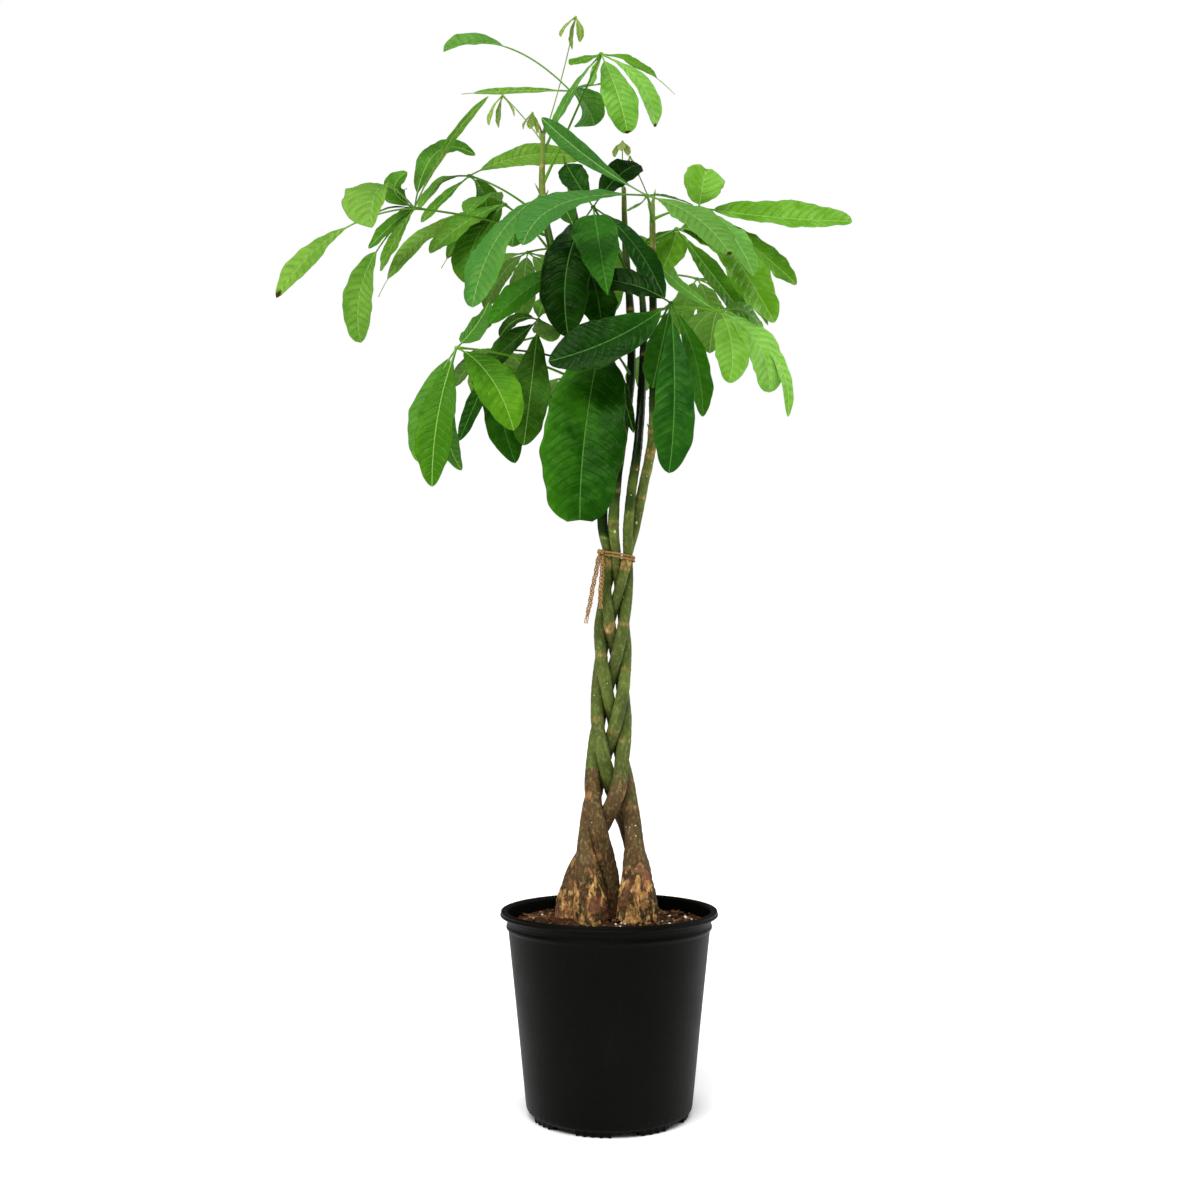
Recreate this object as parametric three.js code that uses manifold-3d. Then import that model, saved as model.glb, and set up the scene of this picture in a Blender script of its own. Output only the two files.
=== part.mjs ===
// A potted money tree: five plaited stems in a grower's pot, with palmate leaves.
// Millimetres, +Z up, X to the right and -Y towards the viewer.
// The origin is the middle of the pot's foot, on the surface that it stands on.

import * as THREE from 'three';
import { mergeVertices } from 'three/addons/utils/BufferGeometryUtils.js';
import Module from 'manifold-3d';

const wasm = await Module();
wasm.setup();

const UP = new THREE.Vector3(0, 0, 1);

// Clearance that neighbouring solids keep where they touch.
const GAP = 0.35;

// Pot
const POT_HEIGHT = 248;
const POT_LIP_RADIUS = 135;
const POT_LIP_HEIGHT = 8;
const POT_BAND_RADIUS = 127.5;
const POT_BAND_HEIGHT = 16;
const POT_SHOULDER_RADIUS = 125;
const POT_BASE_RADIUS = 102;
const POT_WALL = 2;
const POT_EDGE = 2.5;
const FOOT_HEIGHT = 9;
const FOOT_OUTER_RADIUS = 98;
const FOOT_INNER_RADIUS = 88;
const FOOT_FLOOR_HEIGHT = 5;
const FOOT_PAD_RADIUS = 18;
const POT_SEGMENTS = 34;
const DRAIN_COUNT = 8;
const DRAIN_WIDTH = 34;
const DRAIN_HEIGHT = 6;
const DRAIN_DEPTH = 30;
const DRAIN_OFFSET = 11;

// Soil
const SOIL_TOP = 230;
const SOIL_RELIEF = 2.2;
const SOIL_MOUND = 5;
const SOIL_MOUND_RADIUS = 75;
const SOIL_CLEARANCE = 0.75;
const SOIL_CHAMFER = 6;
const SOIL_SEGMENTS = 22;
const SOIL_RINGS = 4;

// Stems: height of the tie, and how deep the feet stand in the soil.
const TIE_HEIGHT = 690;
const FOOT_BLEND_TOP = 400;
const FOOT_SWELL_TOP = 345;
const STEM_BURIED = 60;
const STEM_FOOT_DIP = 12;
const BURIED_SHARE = 0.9;
const BURIED_TAPER = 0.004;
const STEM_SIDES = 8;
const STEM_STEP = 20;
const PLAIT_TURN_PER_MM = 0.837;
const PLAIT_CROSSING_HEIGHT = 647;
const PLAIT_DEPTHS = [0.7, 0.3];
const PLAIT_EASE_HEIGHT = 432;
const PLAIT_EASE = 0.0021;

// Half width of the plait, radius of its strands and lean to the right, by height.
const PLAIT = [
  { z: 230, half: 44, radius: 14, lean: 0 },
  { z: 300, half: 37, radius: 12, lean: 0 },
  { z: 350, half: 29.5, radius: 10.6, lean: 0 },
  { z: 390, half: 24, radius: 10.2, lean: 0 },
  { z: 432, half: 19.8, radius: 8.9, lean: 0 },
  { z: 520, half: 17.7, radius: 7.7, lean: 3 },
  { z: 600, half: 16.5, radius: 7.1, lean: 5 },
  { z: 650, half: 15, radius: 6.4, lean: 9 },
  { z: 690, half: 13.2, radius: 5.9, lean: 13 },
];

// Each stem: its foot, its place in the plait as a phase in degrees, and its
// way above the tie as points with a radius.
const STEMS = {
  stem_back_left: {
    foot: [-50, 6], footRadius: 18, phase: -144,
    above: [[-8, -3, 725, 6.6], [-7, -1, 775, 6.2], [-8, 2, 830, 6], [-26, -2, 915, 5.6],
      [-56, -6, 1020, 5.2], [-84, -10, 1140, 4.6], [-85, -10, 1232, 3]],
  },
  stem_front_right: {
    foot: [36, -20], footRadius: 26, phase: 144,
    above: [[5, 15, 725, 6.4], [8, 22, 775, 6], [10, 30, 840, 5.8], [8, 36, 915, 5.4],
      [-14, 38, 1030, 4.8], [-42, 30, 1130, 4], [-56, 22, 1205, 3]],
  },
  stem_front_left: {
    foot: [-20, -24], footRadius: 22, phase: -72,
    above: [[6, -11, 725, 6.6], [9, -8, 775, 6.2], [16, -4, 830, 6], [28, 2, 915, 5.6],
      [28, 14, 1000, 5.2], [22, 30, 1100, 4.4], [20, 38, 1180, 3]],
  },
  stem_back_right: {
    foot: [40, 26], footRadius: 20, phase: 72,
    above: [[24, -8, 725, 6.6], [29, -5, 775, 6.2], [37, 4, 830, 5.8], [43, 22, 915, 5.4],
      [46, 48, 1010, 4.6], [38, 70, 1110, 3.2]],
  },
  stem_middle: {
    foot: [2, 10], footRadius: 15, phase: 0,
    above: [[33, 5, 725, 6.6], [43, 0, 775, 6.4], [54, -8, 830, 6], [57, -12, 915, 5.6],
      [56, -18, 1020, 5], [55, -28, 1135, 3.4]],
  },
};

// Twine
const TWINE_RADIUS = 1.5;
const TWINE_SIDES = 5;
const TIE_CENTRE_X = 12;
const TIE_TILT = 0.2;
const TIE_POINTS = 16;
const TIE_SLACK = 0.4;
const TIE_TURN_HEIGHTS = [686.6, 690.2];
const KNOT = [-10.5, -6.5, 692];
const KNOT_SIZE = [4.8, 4, 6.2];
const KNOT_SIDES = 7;
const TAIL_RADIUS = 1.5;
const LONG_TAIL = [[-12.4, -8.8, 687.4], [-14, -13, 681], [-15, -17, 674], [-16.6, -20.4, 665],
  [-18.6, -22.4, 656], [-20.5, -23.5, 647], [-22, -24, 638], [-23.5, -24, 629],
  [-25.5, -24, 620], [-27.5, -24, 611], [-29, -24, 602]];
const SHORT_TAIL = [[-9, -9.8, 687.4], [-8.6, -14.4, 680], [-8.6, -18, 673], [-9, -21, 664],
  [-9.8, -23.2, 655], [-10.6, -24.5, 646], [-11, -25, 637], [-11, -25, 628], [-10.5, -25, 620]];
const TAIL_SIDES = 8;
const TAIL_STEP = 7;

// Leaves
const BLADE_THICKNESS = 1.2;
const BLADE_ROOT_HALF_WIDTH = 1;
const BLADE_NECK = 0.1;
const BLADE_PEAK = 0.58;
const BLADE_FULL = 0.6;
const BLADE_TIP_HALF_WIDTH = 0.9;
const NOTCH_HALF_SHARE = 0.3;
const BLADE_FOLD = 0.14;

// Places across a blade that carry its surface: edge, midrib, edge, or edges alone.
const FOLDED = [-1, 0, 1];
const FLAT = [-1, 1];
const BLADE_STATIONS = [0, 0.18, 0.4, 0.65, 0.88, 1];
const PLAIN_STATIONS = [0, 0.22, 0.55, 0.85, 1];
const NOTCHED_STATIONS = [0, 0.14, 0.34, 0.64, 0.86, 0.96, 1];
const NARROW = 42;
const HUB_RADIUS = 4.2;
const PETIOLE_ROOT_RADIUS = 2.5;
const PETIOLE_RADIUS = 1.5;
const PETIOLE_SIDES = 5;
const PETIOLE_STEPS = 4;
const PETIOLE_RISE = 0.12;

const COLOURS = {
  pot: { color: 0x1b1c1d, roughness: 0.55 },
  soil: { color: 0x3a2417, roughness: 1 },
  bark: { color: 0x66713f, roughness: 0.75 },
  twine: { color: 0xb58a52, roughness: 0.95 },
  leaf: { color: 0x2e7a1c, roughness: 0.45 },
  youngLeaf: { color: 0x79ab33, roughness: 0.5 },
};

// One leaflet: its tip, the middle of its midrib, its widest width, and options.
// Face is the way its upper side looks, neck and tail the bare shares of its length,
// peak the share where it is widest, and full how square its outline is. Sides scale
// its two halves, and notch is how deep its end is cut, as a share of its length.
function leaflet(tip, middle, width, options = {}) {
  return { tip, middle, width, ...options };
}

// Each leaf: the stem that it grows on and the height of its root, its hub,
// the way its upper side looks, and its leaflets.
const LEAVES = {
  leaf_far_left: {
    stem: 'stem_back_left', root: 1100, hub: [-245, -40, 1125], face: [-0.3, -0.6, 0.7],
    rise: 0.05,
    leaflets: [
      leaflet([-150, -75, 1254], [-202, -60, 1198], 11, { face: [0.6, -0.6, 0.1] }),
      leaflet([-175, 25, 1220], [-223, 0, 1213], 38, { face: [-0.2, -0.8, 0.5], peak: 0.5 }),
      leaflet([-280, -150, 1061], [-275, -110, 1126], 74, {
        face: [-0.15, -0.8, 0.6], peak: 0.72, sides: [1, 0.45],
      }),
      leaflet([-405, -90, 995], [-333, -75, 1082], 36, { face: [-0.1, -0.8, 0.6], neck: 0.45 }),
      leaflet([-290, -25, 1049], [-267, -40, 1088], 26, { face: [-0.5, -0.8, 0.3] }),
      leaflet([-325, 40, 974], [-315, 15, 1060], 46, {
        face: [-0.3, -0.9, 0.2], neck: 0.35, peak: 0.55, full: 0.5,
      }),
      leaflet([-252, -60, 1164], [-268, -55, 1142], 36, { face: [-0.3, -0.8, 0.5], full: 0.45 }),
      leaflet([-306, -20, 1080], [-271, -30, 1111], 26, { face: [-0.5, -0.8, 0.3], full: 0.45 }),
      leaflet([-291, -50, 1115], [-271, -48, 1123], 8),
    ],
  },
  leaf_left_top: {
    stem: 'stem_back_left', root: 1118, hub: [-185, 45, 1200], face: [0, -0.5, 0.85],
    leaflets: [
      leaflet([-249, 30, 1149], [-221, 35, 1187], 30, { face: [-0.3, -0.6, 0.7] }),
      leaflet([-255, 95, 1155], [-225, 80, 1180], 24, { face: [-0.5, -0.8, 0.3] }),
      leaflet([-40, 120, 1255], [-112, 90, 1246], 44, {
        face: [0, -0.95, 0.3], full: 0.5, sides: [1, 0.78],
      }),
      leaflet([-175, 85, 1130], [-165, 70, 1175], 44, { face: [0.1, -0.9, 0.3] }),
    ],
  },
  leaf_left_middle: {
    stem: 'stem_back_left', root: 1072, hub: [-135, 15, 1150], face: [-0.3, -0.5, 0.8],
    leaflets: [
      leaflet([-175, -75, 1105], [-155, -40, 1140], 44),
      leaflet([-229, -10, 1077], [-183, 0, 1122], 44, { face: [-0.3, -0.8, 0.5] }),
      leaflet([-222, 55, 1078], [-182, 45, 1132], 34, { face: [-0.3, -0.9, 0.3], tail: 0.1 }),
      leaflet([-184, 0, 1041], [-170, 0, 1100], 54, { face: [-0.4, -0.9, 0.2] }),
      leaflet([-296, 0, 1023], [-234, 10, 1109], 30, {
        face: [-0.3, -0.85, 0.45], neck: 0.2, tail: 0.12,
      }),
    ],
  },
  leaf_front_left: {
    stem: 'stem_back_left', root: 1085, hub: [-85, -80, 1125], face: [-0.3, -0.7, 0.6],
    leaflets: [
      leaflet([-163, -125, 973], [-136, -115, 1058], 62, {
        face: [-0.5, -0.8, 0.3], peak: 0.66, full: 0.45, sides: [0.75, 1.05],
      }),
      leaflet([-120, -70, 1065], [-110, -80, 1095], 40, { face: [-0.2, -0.9, 0.4] }),
      leaflet([-45, -95, 1085], [-62, -96, 1112], 32, { face: [0.2, -0.9, 0.4] }),
    ],
  },
  leaf_front_right: {
    stem: 'stem_middle', root: 1112, hub: [45, -110, 1115], face: [0, -0.6, 0.8],
    leaflets: [
      leaflet([-101, -165, 1035], [-55, -150, 1090], 54, { face: [-0.1, -0.75, 0.65], peak: 0.6 }),
      leaflet([139, -175, 1020], [101, -155, 1071], 56, { face: [0.1, -0.75, 0.65], sides: [1, 0.8] }),
      leaflet([-85, -45, 1240], [-22, -75, 1173], 24, { face: [-0.5, -0.75, 0], peak: 0.68 }),
      leaflet([21, -60, 1115], [36, -85, 1112], 14, { face: [0.1, -0.95, 0.3] }),
      leaflet([104, -60, 1122], [70, -95, 1119], 14, { face: [0, -0.7, 0.7] }),
    ],
  },
  leaf_centre: {
    stem: 'stem_front_left', root: 1060, hub: [-20, -30, 1130], face: [0, -0.8, 0.6],
    leaflets: [
      leaflet([-50, -80, 950], [-51, -75, 1043], 62, { face: [-0.1, -0.95, 0.3], full: 0.5 }),
      leaflet([-2, -115, 991], [-11, -100, 1050], 64, {
        face: [0, -0.9, 0.4], peak: 0.25, full: 0.9, sides: [1, 0.8],
      }),
      leaflet([69, -45, 1007], [31, -55, 1073], 36, { face: [0.3, -0.9, 0.4], peak: 0.6 }),
      leaflet([-55, 6, 1200], [-42, -14, 1170], 36, { face: [-0.2, -0.8, 0.5] }),
      leaflet([40, 20, 1205], [12, -5, 1180], 44, { face: [0.1, -0.8, 0.6] }),
    ],
  },
  leaf_right_high: {
    stem: 'stem_middle', root: 1115, hub: [115, -15, 1135], face: [0.2, -0.6, 0.8],
    leaflets: [
      leaflet([124, -20, 1186], [118, -35, 1153], 52, {
        face: [0.1, -0.95, -0.2], peak: 0.62, full: 0.42, notch: 0.2,
      }),
      leaflet([310, -20, 1115], [212, -15, 1122], 60, {
        face: [0, -0.85, 0.5], peak: 0.55, full: 0.45, sides: [0.65, 1],
      }),
      leaflet([175, -95, 1021], [150, -75, 1079], 36, { face: [0.2, -0.8, 0.6] }),
      leaflet([241, 0, 1039], [189, -5, 1084], 44, { face: [0.3, -0.8, 0.5] }),
      leaflet([205, -55, 974], [161, -50, 1053], 62, { face: [0.3, -0.85, 0.4] }),
    ],
  },
  leaf_right_middle: {
    stem: 'stem_back_right', root: 1085, hub: [90, 50, 1130], face: [0.2, -0.7, 0.7],
    leaflets: [
      leaflet([185, 45, 1001], [135, 45, 1069], 40, { face: [0.3, -0.8, 0.5] }),
      leaflet([140, 110, 1135], [120, 85, 1140], 34, { face: [0.2, -0.8, 0.6] }),
      leaflet([68, 60, 1071], [84, 55, 1105], 42, { face: [-0.1, -0.95, 0.2], peak: 0.38 }),
      leaflet([180, 130, 1106], [134, 100, 1129], 42, { face: [0.3, -0.8, 0.5] }),
      leaflet([47, 40, 1106], [69, 40, 1117], 12, { face: [-0.1, -0.95, 0.2] }),
    ],
  },
  leaf_right_low: {
    stem: 'stem_middle', root: 960, hub: [75, -85, 990], face: [0.1, -0.8, 0.6],
    leaflets: [
      leaflet([-72, -140, 904], [6, -135, 933], 70, { face: [-0.1, -0.9, 0.4] }),
      leaflet([70, -120, 775], [77, -120, 868], 50, { face: [0.05, -0.95, 0.2], full: 0.55 }),
      leaflet([115, -60, 855], [105, -75, 925], 34, { face: [0.3, -0.9, 0.3] }),
      leaflet([-20, -64, 1025], [30, -82, 1013], 48, { face: [0, -0.8, 0.6] }),
      leaflet([55, -20, 900], [65, -50, 945], 38, { face: [0, -0.95, 0.3] }),
    ],
  },
  leaf_right_outer: {
    stem: 'stem_middle', root: 1000, hub: [140, -45, 990], face: [0.3, -0.7, 0.6],
    leaflets: [
      leaflet([71, -10, 1054], [108, -25, 1016], 32, {
        face: [0.3, -0.8, 0.5], peak: 0.7, sides: [0.6, 1],
      }),
      leaflet([145, -90, 890], [149, -85, 937], 44, { face: [0.1, -0.95, 0.3], peak: 0.45, full: 0.5 }),
      leaflet([196, -65, 884], [183, -72, 943], 50, { face: [0.35, -0.85, 0.4], full: 0.4 }),
      leaflet([200, 20, 985], [172, -5, 1003], 36),
      leaflet([220, -60, 855], [203, -67, 932], 18, { face: [0.35, -0.85, 0.4], full: 0.5 }),
    ],
  },
  leaf_front_low: {
    stem: 'stem_front_left', root: 920, hub: [-10, -85, 945], face: [0, -1, 0.25],
    leaflets: [
      leaflet([-35, -135, 715], [-29, -125, 822], 98, {
        face: [-0.05, -1, 0.15], peak: 0.5, full: 0.3, notch: 0.02,
      }),
      leaflet([30, -60, 835], [12, -75, 892], 18, { face: [0.2, -0.9, 0.3] }),
    ],
  },
  leaf_lower_left: {
    stem: 'stem_back_left', root: 905, hub: [-190, -45, 945], face: [-0.1, -0.9, 0.5],
    leaflets: [
      leaflet([-215, -80, 765], [-208, -80, 855], 48, { face: [-0.2, -0.95, 0.25] }),
      leaflet([-115, -100, 830], [-144, -95, 896], 56, { face: [0.2, -0.9, 0.4] }),
      leaflet([-240, -25, 805], [-225, -35, 880], 42, { face: [-0.3, -0.9, 0.3] }),
      leaflet([-189, 15, 801], [-207, -10, 861], 26, { face: [0, -0.95, 0.3] }),
      leaflet([-154, -5, 1014], [-167, -22, 981], 44, {
        face: [-0.3, -0.9, 0.3], peak: 0.3, sides: [1, 0.4],
      }),
    ],
  },
  leaf_left_inner: {
    stem: 'stem_front_right', root: 925, hub: [-145, 40, 965], face: [-0.1, -0.9, 0.5],
    leaflets: [
      leaflet([-195, 40, 844], [-171, 40, 902], 24),
      leaflet([-123, 60, 818], [-144, 55, 895], 50, { face: [0.2, -0.9, 0.3] }),
      leaflet([-175, 110, 925], [-165, 85, 950], 40),
    ],
  },
  leaf_middle_left: {
    stem: 'stem_back_left', root: 955, hub: [-90, -10, 990], face: [-0.2, -0.8, 0.6],
    leaflets: [
      leaflet([-106, -45, 822], [-97, -44, 897], 50, { face: [-0.1, -0.95, 0.2] }),
      leaflet([-160, 15, 935], [-125, 8, 965], 42, { face: [-0.4, -0.8, 0.4] }),
      leaflet([-140, 5, 972], [-118, 5, 995], 24),
      leaflet([-70, -75, 945], [-80, -50, 965], 34, { face: [0.2, -0.8, 0.6] }),
      leaflet([-84, 40, 1032], [-88, 15, 1012], 22, { face: [0, -0.9, -0.2] }),
    ],
  },
  leaf_inner: {
    stem: 'stem_front_right', root: 1010, hub: [-30, -22, 1065], face: [0, -0.7, 0.7],
    leaflets: [
      leaflet([-151, -38, 977], [-91, -38, 1030], 48, { face: [-0.3, -0.8, 0.5], peak: 0.66 }),
      leaflet([-90, 70, 1035], [-65, 45, 1055], 44, { face: [-0.2, -0.8, 0.6] }),
      leaflet([-10, -45, 970], [-15, -35, 1015], 46, { face: [0, -0.9, 0.4] }),
    ],
  },
  leaf_top: {
    stem: 'stem_back_left', root: 1165, hub: [-10, -20, 1335], face: [0.1, -0.8, 0.6],
    rise: -0.02,
    leaflets: [
      leaflet([23, -60, 1213], [10, -55, 1268], 44, { face: [0.1, -0.9, 0.4], full: 0.5 }),
      leaflet([58, -40, 1230], [40, -45, 1285], 32, { face: [0.5, -0.85, 0.3] }),
      leaflet([85, -15, 1284], [37, -20, 1320], 36, { face: [0.15, -0.6, 0.75], tail: 0.25 }),
      leaflet([-48, -75, 1294], [-31, -55, 1311], 40, { face: [-0.1, -0.6, 0.75], sides: [0.6, 1] }),
      leaflet([-74, -15, 1232], [-44, -22, 1289], 30, { face: [-0.6, -0.5, 0.4], peak: 0.68 }),
      leaflet([-25, 26, 1318], [-15, 6, 1327], 24, { face: [0, -0.9, 0.3] }),
    ],
  },
  leaf_top_left: {
    stem: 'stem_back_left', root: 1205, hub: [-50, 10, 1300], face: [-0.1, -0.4, 0.9],
    rise: 0.02,
    leaflets: [
      leaflet([-215, 0, 1348], [-135, 5, 1357], 38, {
        face: [0, -0.9, 0.4], neck: 0.52, sides: [1, 0.25],
      }),
      leaflet([-187, -40, 1273], [-118, -15, 1289], 12, { face: [0, -0.9, 0.3], tail: 0.1 }),
      leaflet([-19, 60, 1275], [-31, 40, 1295], 66, { face: [0, -0.95, 0.2], sides: [1, 0.75] }),
      leaflet([5, 95, 1349], [-25, 60, 1330], 26),
    ],
  },
};

// Leaves that face the back, each a fan of like leaflets about its heading.
const BACK_LEAVES = {
  leaf_back_left: {
    stem: 'stem_front_right', root: 1085, hub: [-112, 140, 1128], heading: 98, reach: 125, spread: 150,
  },
  leaf_back: {
    stem: 'stem_front_right', root: 1130, hub: [5, 190, 1175], heading: 88, reach: 150, spread: 160,
  },
  leaf_back_right: {
    stem: 'stem_back_right', root: 1060, hub: [125, 155, 1095], heading: 35, reach: 135, spread: 140,
  },
  leaf_left_side: {
    stem: 'stem_front_right', root: 985, hub: [-150, 115, 985], heading: 118, reach: 95, spread: 150,
  },
  leaf_back_low_left: {
    stem: 'stem_front_right', root: 900, hub: [-50, 175, 960], heading: 100, reach: 112, spread: 150,
  },
  leaf_back_low_right: {
    stem: 'stem_back_right', root: 935, hub: [80, 185, 1000], heading: 78, reach: 92, spread: 150,
  },
  leaf_right_side: {
    stem: 'stem_back_right', root: 1000, hub: [150, 110, 1040], heading: 58, reach: 92, spread: 150,
  },
};

const FAN_COUNT = 5;
const FAN_WIDTH = 40;
const FAN_NECK = 0.12;
const FAN_DROP = 0.55;
const FAN_BULGE = 0.12;
const FAN_SIDE_SHARE = 0.78;
const FAN_OUT = 0.82;
const FAN_ARCH_OUT = 0.06;
const FAN_LOOK = [0.5, 0.8];

// Young leaves that still hang folded, on thin stalks from the stem tips.
const BUDS = {
  bud_top: {
    stem: 'stem_back_left', root: 1226, hub: [-43, 0, 1395], stalk: [-62, 2, 1300],
    tips: [[-62, -10, 1363], [-48, 6, 1354], [-36, 10, 1370], [-38, -6, 1358]],
  },
  bud_left: {
    stem: 'stem_back_left', root: 1222, hub: [-139, 16, 1297], stalk: [-110, 4, 1264],
    tips: [[-156, 8, 1253], [-145, 24, 1257], [-124, 26, 1273]],
  },
  bud_middle: {
    stem: 'stem_back_left', root: 1216, hub: [-100, 22, 1276], stalk: [-92, 10, 1252],
    tips: [[-112, 22, 1254], [-94, 30, 1252], [-104, 40, 1262]],
  },
  bud_right: {
    stem: 'stem_front_left', root: 1172, hub: [18, 0, 1228], stalk: [17, 26, 1200],
    tips: [[8, -8, 1204], [24, -8, 1206], [16, -14, 1210]],
  },
  bud_right_low: {
    stem: 'stem_middle', root: 1128, hub: [28, 34, 1222], stalk: [50, 30, 1175],
    tips: [[36, 40, 1202], [24, 46, 1204]],
  },
};

const BUD_WIDTH = 11;
const BUD_ARCH = 0.1;
const BUD_LOOK = [0, -0.4, 0.3];
const BUD_ROOT_RADIUS = 1.1;
const BUD_STALK_RADIUS = 0.8;
const BUD_HUB_RADIUS = 2.2;

// Solids

function solidOf(geometry) {
  const bare = geometry.clone();
  for (const name of Object.keys(bare.attributes)) {
    if (name !== 'position') bare.deleteAttribute(name);
  }
  const merged = mergeVertices(bare, 1e-4);
  return new wasm.Manifold(new wasm.Mesh({
    numProp: 3,
    vertProperties: new Float32Array(merged.attributes.position.array),
    triVerts: new Uint32Array(merged.index.array),
  }));
}

function geometryOf(solid) {
  const mesh = solid.getMesh();
  const geometry = new THREE.BufferGeometry();
  geometry.setAttribute('position', new THREE.BufferAttribute(new Float32Array(mesh.vertProperties), 3));
  geometry.setIndex(new THREE.BufferAttribute(new Uint32Array(mesh.triVerts), 1));
  geometry.computeVertexNormals();
  return geometry;
}

function joined(solids) {
  return solids.reduce((whole, next) => whole.add(next));
}

function closedGeometry(positions, triangles) {
  const geometry = new THREE.BufferGeometry();
  geometry.setAttribute('position', new THREE.BufferAttribute(new Float32Array(positions), 3));
  geometry.setIndex(triangles);
  return geometry;
}

// A round bar through points, each with its own radius. The section's frame is
// carried along without twist, and both ends are closed by a fan.
function roundBar(points, radii, sides, isRing = false) {
  const count = points.length;
  const tangents = points.map((point, i) => {
    const before = isRing ? points[(i + count - 1) % count] : points[Math.max(i - 1, 0)];
    const after = isRing ? points[(i + 1) % count] : points[Math.min(i + 1, count - 1)];
    return after.clone().sub(before).normalize();
  });
  const start = Math.abs(tangents[0].x) < 0.9 ? new THREE.Vector3(1, 0, 0) : new THREE.Vector3(0, 1, 0);
  let across = start.sub(tangents[0].clone().multiplyScalar(start.dot(tangents[0]))).normalize();
  if (isRing) across = UP.clone();
  const positions = [];
  points.forEach((point, i) => {
    const along = tangents[i];
    across = across.clone().sub(along.clone().multiplyScalar(across.dot(along))).normalize();
    const other = new THREE.Vector3().crossVectors(along, across);
    for (let side = 0; side < sides; side += 1) {
      const angle = (2 * Math.PI * side) / sides;
      const corner = point.clone()
        .addScaledVector(across, radii[i] * Math.cos(angle))
        .addScaledVector(other, radii[i] * Math.sin(angle));
      positions.push(corner.x, corner.y, corner.z);
    }
  });
  const triangles = [];
  const spans = isRing ? count : count - 1;
  for (let i = 0; i < spans; i += 1) {
    for (let side = 0; side < sides; side += 1) {
      const next = (side + 1) % sides;
      const a = i * sides + side;
      const b = i * sides + next;
      const c = ((i + 1) % count) * sides + side;
      const d = ((i + 1) % count) * sides + next;
      triangles.push(a, b, d, a, d, c);
    }
  }
  if (!isRing) {
    const last = (count - 1) * sides;
    for (let side = 1; side < sides - 1; side += 1) {
      triangles.push(0, side + 1, side, last, last + side, last + side + 1);
    }
  }
  return closedGeometry(positions, triangles);
}

// Stems

function smoothStep(low, high, value) {
  const share = Math.min(Math.max((value - low) / (high - low), 0), 1);
  return share * share * (3 - 2 * share);
}

function plaitAt(z, key) {
  const upper = PLAIT.findIndex((row) => row.z >= z);
  if (upper <= 0) return PLAIT[upper === 0 ? 0 : PLAIT.length - 1][key];
  const low = PLAIT[upper - 1];
  const high = PLAIT[upper];
  return low[key] + ((high[key] - low[key]) * (z - low.z)) / (high.z - low.z);
}

// The strand's place in the plait, which turns with height, as a figure of eight.
function plaitPoint(phase, z) {
  const below = Math.max(PLAIT_EASE_HEIGHT - z, 0);
  const turn = z > PLAIT_EASE_HEIGHT
    ? 90 + PLAIT_TURN_PER_MM * (PLAIT_CROSSING_HEIGHT - z)
    : 270 + PLAIT_TURN_PER_MM * below - PLAIT_EASE * below * below;
  const angle = THREE.MathUtils.degToRad(turn + phase);
  const half = plaitAt(z, 'half');
  return new THREE.Vector3(
    plaitAt(z, 'lean') + half * Math.sin(angle),
    half * (PLAIT_DEPTHS[0] * Math.sin(2 * angle) + PLAIT_DEPTHS[1] * Math.sin(4 * angle)),
    z,
  );
}

function stemPath(stem) {
  const points = [];
  const radii = [];
  const bottom = SOIL_TOP - STEM_BURIED;
  const first = SOIL_TOP - STEM_FOOT_DIP;
  const count = Math.round((TIE_HEIGHT - first) / STEM_STEP);
  const heights = Array.from(
    { length: count + 1 },
    (_, i) => THREE.MathUtils.lerp(first, TIE_HEIGHT, i / count),
  );
  for (const z of [bottom, ...heights]) {
    const share = smoothStep(SOIL_TOP - 10, FOOT_BLEND_TOP, z);
    const inPlait = plaitPoint(stem.phase, Math.max(z, SOIL_TOP));
    points.push(new THREE.Vector3(
      THREE.MathUtils.lerp(stem.foot[0], inPlait.x, share),
      THREE.MathUtils.lerp(stem.foot[1], inPlait.y, share),
      z,
    ));
    const buried = z < SOIL_TOP ? BURIED_SHARE - (SOIL_TOP - z) * BURIED_TAPER : 1;
    const swell = 1 - smoothStep(SOIL_TOP, FOOT_SWELL_TOP, z);
    const inPlaitRadius = plaitAt(z, 'radius');
    radii.push((inPlaitRadius + (stem.footRadius - inPlaitRadius) * swell) * buried);
  }
  const curve = new THREE.CatmullRomCurve3([
    points[points.length - 1],
    ...stem.above.map(([x, y, z]) => new THREE.Vector3(x, y, z)),
  ], false, 'centripetal');
  const knots = [radii[radii.length - 1], ...stem.above.map((row) => row[3])];
  const steps = stem.above.length * 2;
  for (let i = 1; i <= steps; i += 1) {
    const at = (i / steps) * (knots.length - 1);
    const low = Math.min(Math.floor(at), knots.length - 2);
    points.push(curve.getPoint(i / steps));
    radii.push(THREE.MathUtils.lerp(knots[low], knots[low + 1], at - low));
  }
  return { points, radii };
}

function pathPointAt(path, z) {
  const upper = Math.max(path.points.findIndex((point) => point.z >= z), 1);
  const low = path.points[upper - 1];
  const high = path.points[upper];
  return low.clone().lerp(high, (z - low.z) / (high.z - low.z));
}

// Blades

// Half width by share of length: sin(pi a^p)^full between neck and tail, where a^p
// is one half at the peak. A notched blade keeps part of its width to the end.
function outline(share, spec) {
  const neck = spec.neck ?? BLADE_NECK;
  const along = Math.min(Math.max((share - neck) / (1 - neck - (spec.tail ?? 0)), 0), 1);
  const power = Math.log(0.5) / Math.log(spec.peak ?? BLADE_PEAK);
  const wide = Math.max(Math.sin(Math.PI * along ** power), 0) ** (spec.full ?? BLADE_FULL);
  return spec.notch ? Math.max(wide, NOTCH_HALF_SHARE * along) : wide;
}

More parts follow.
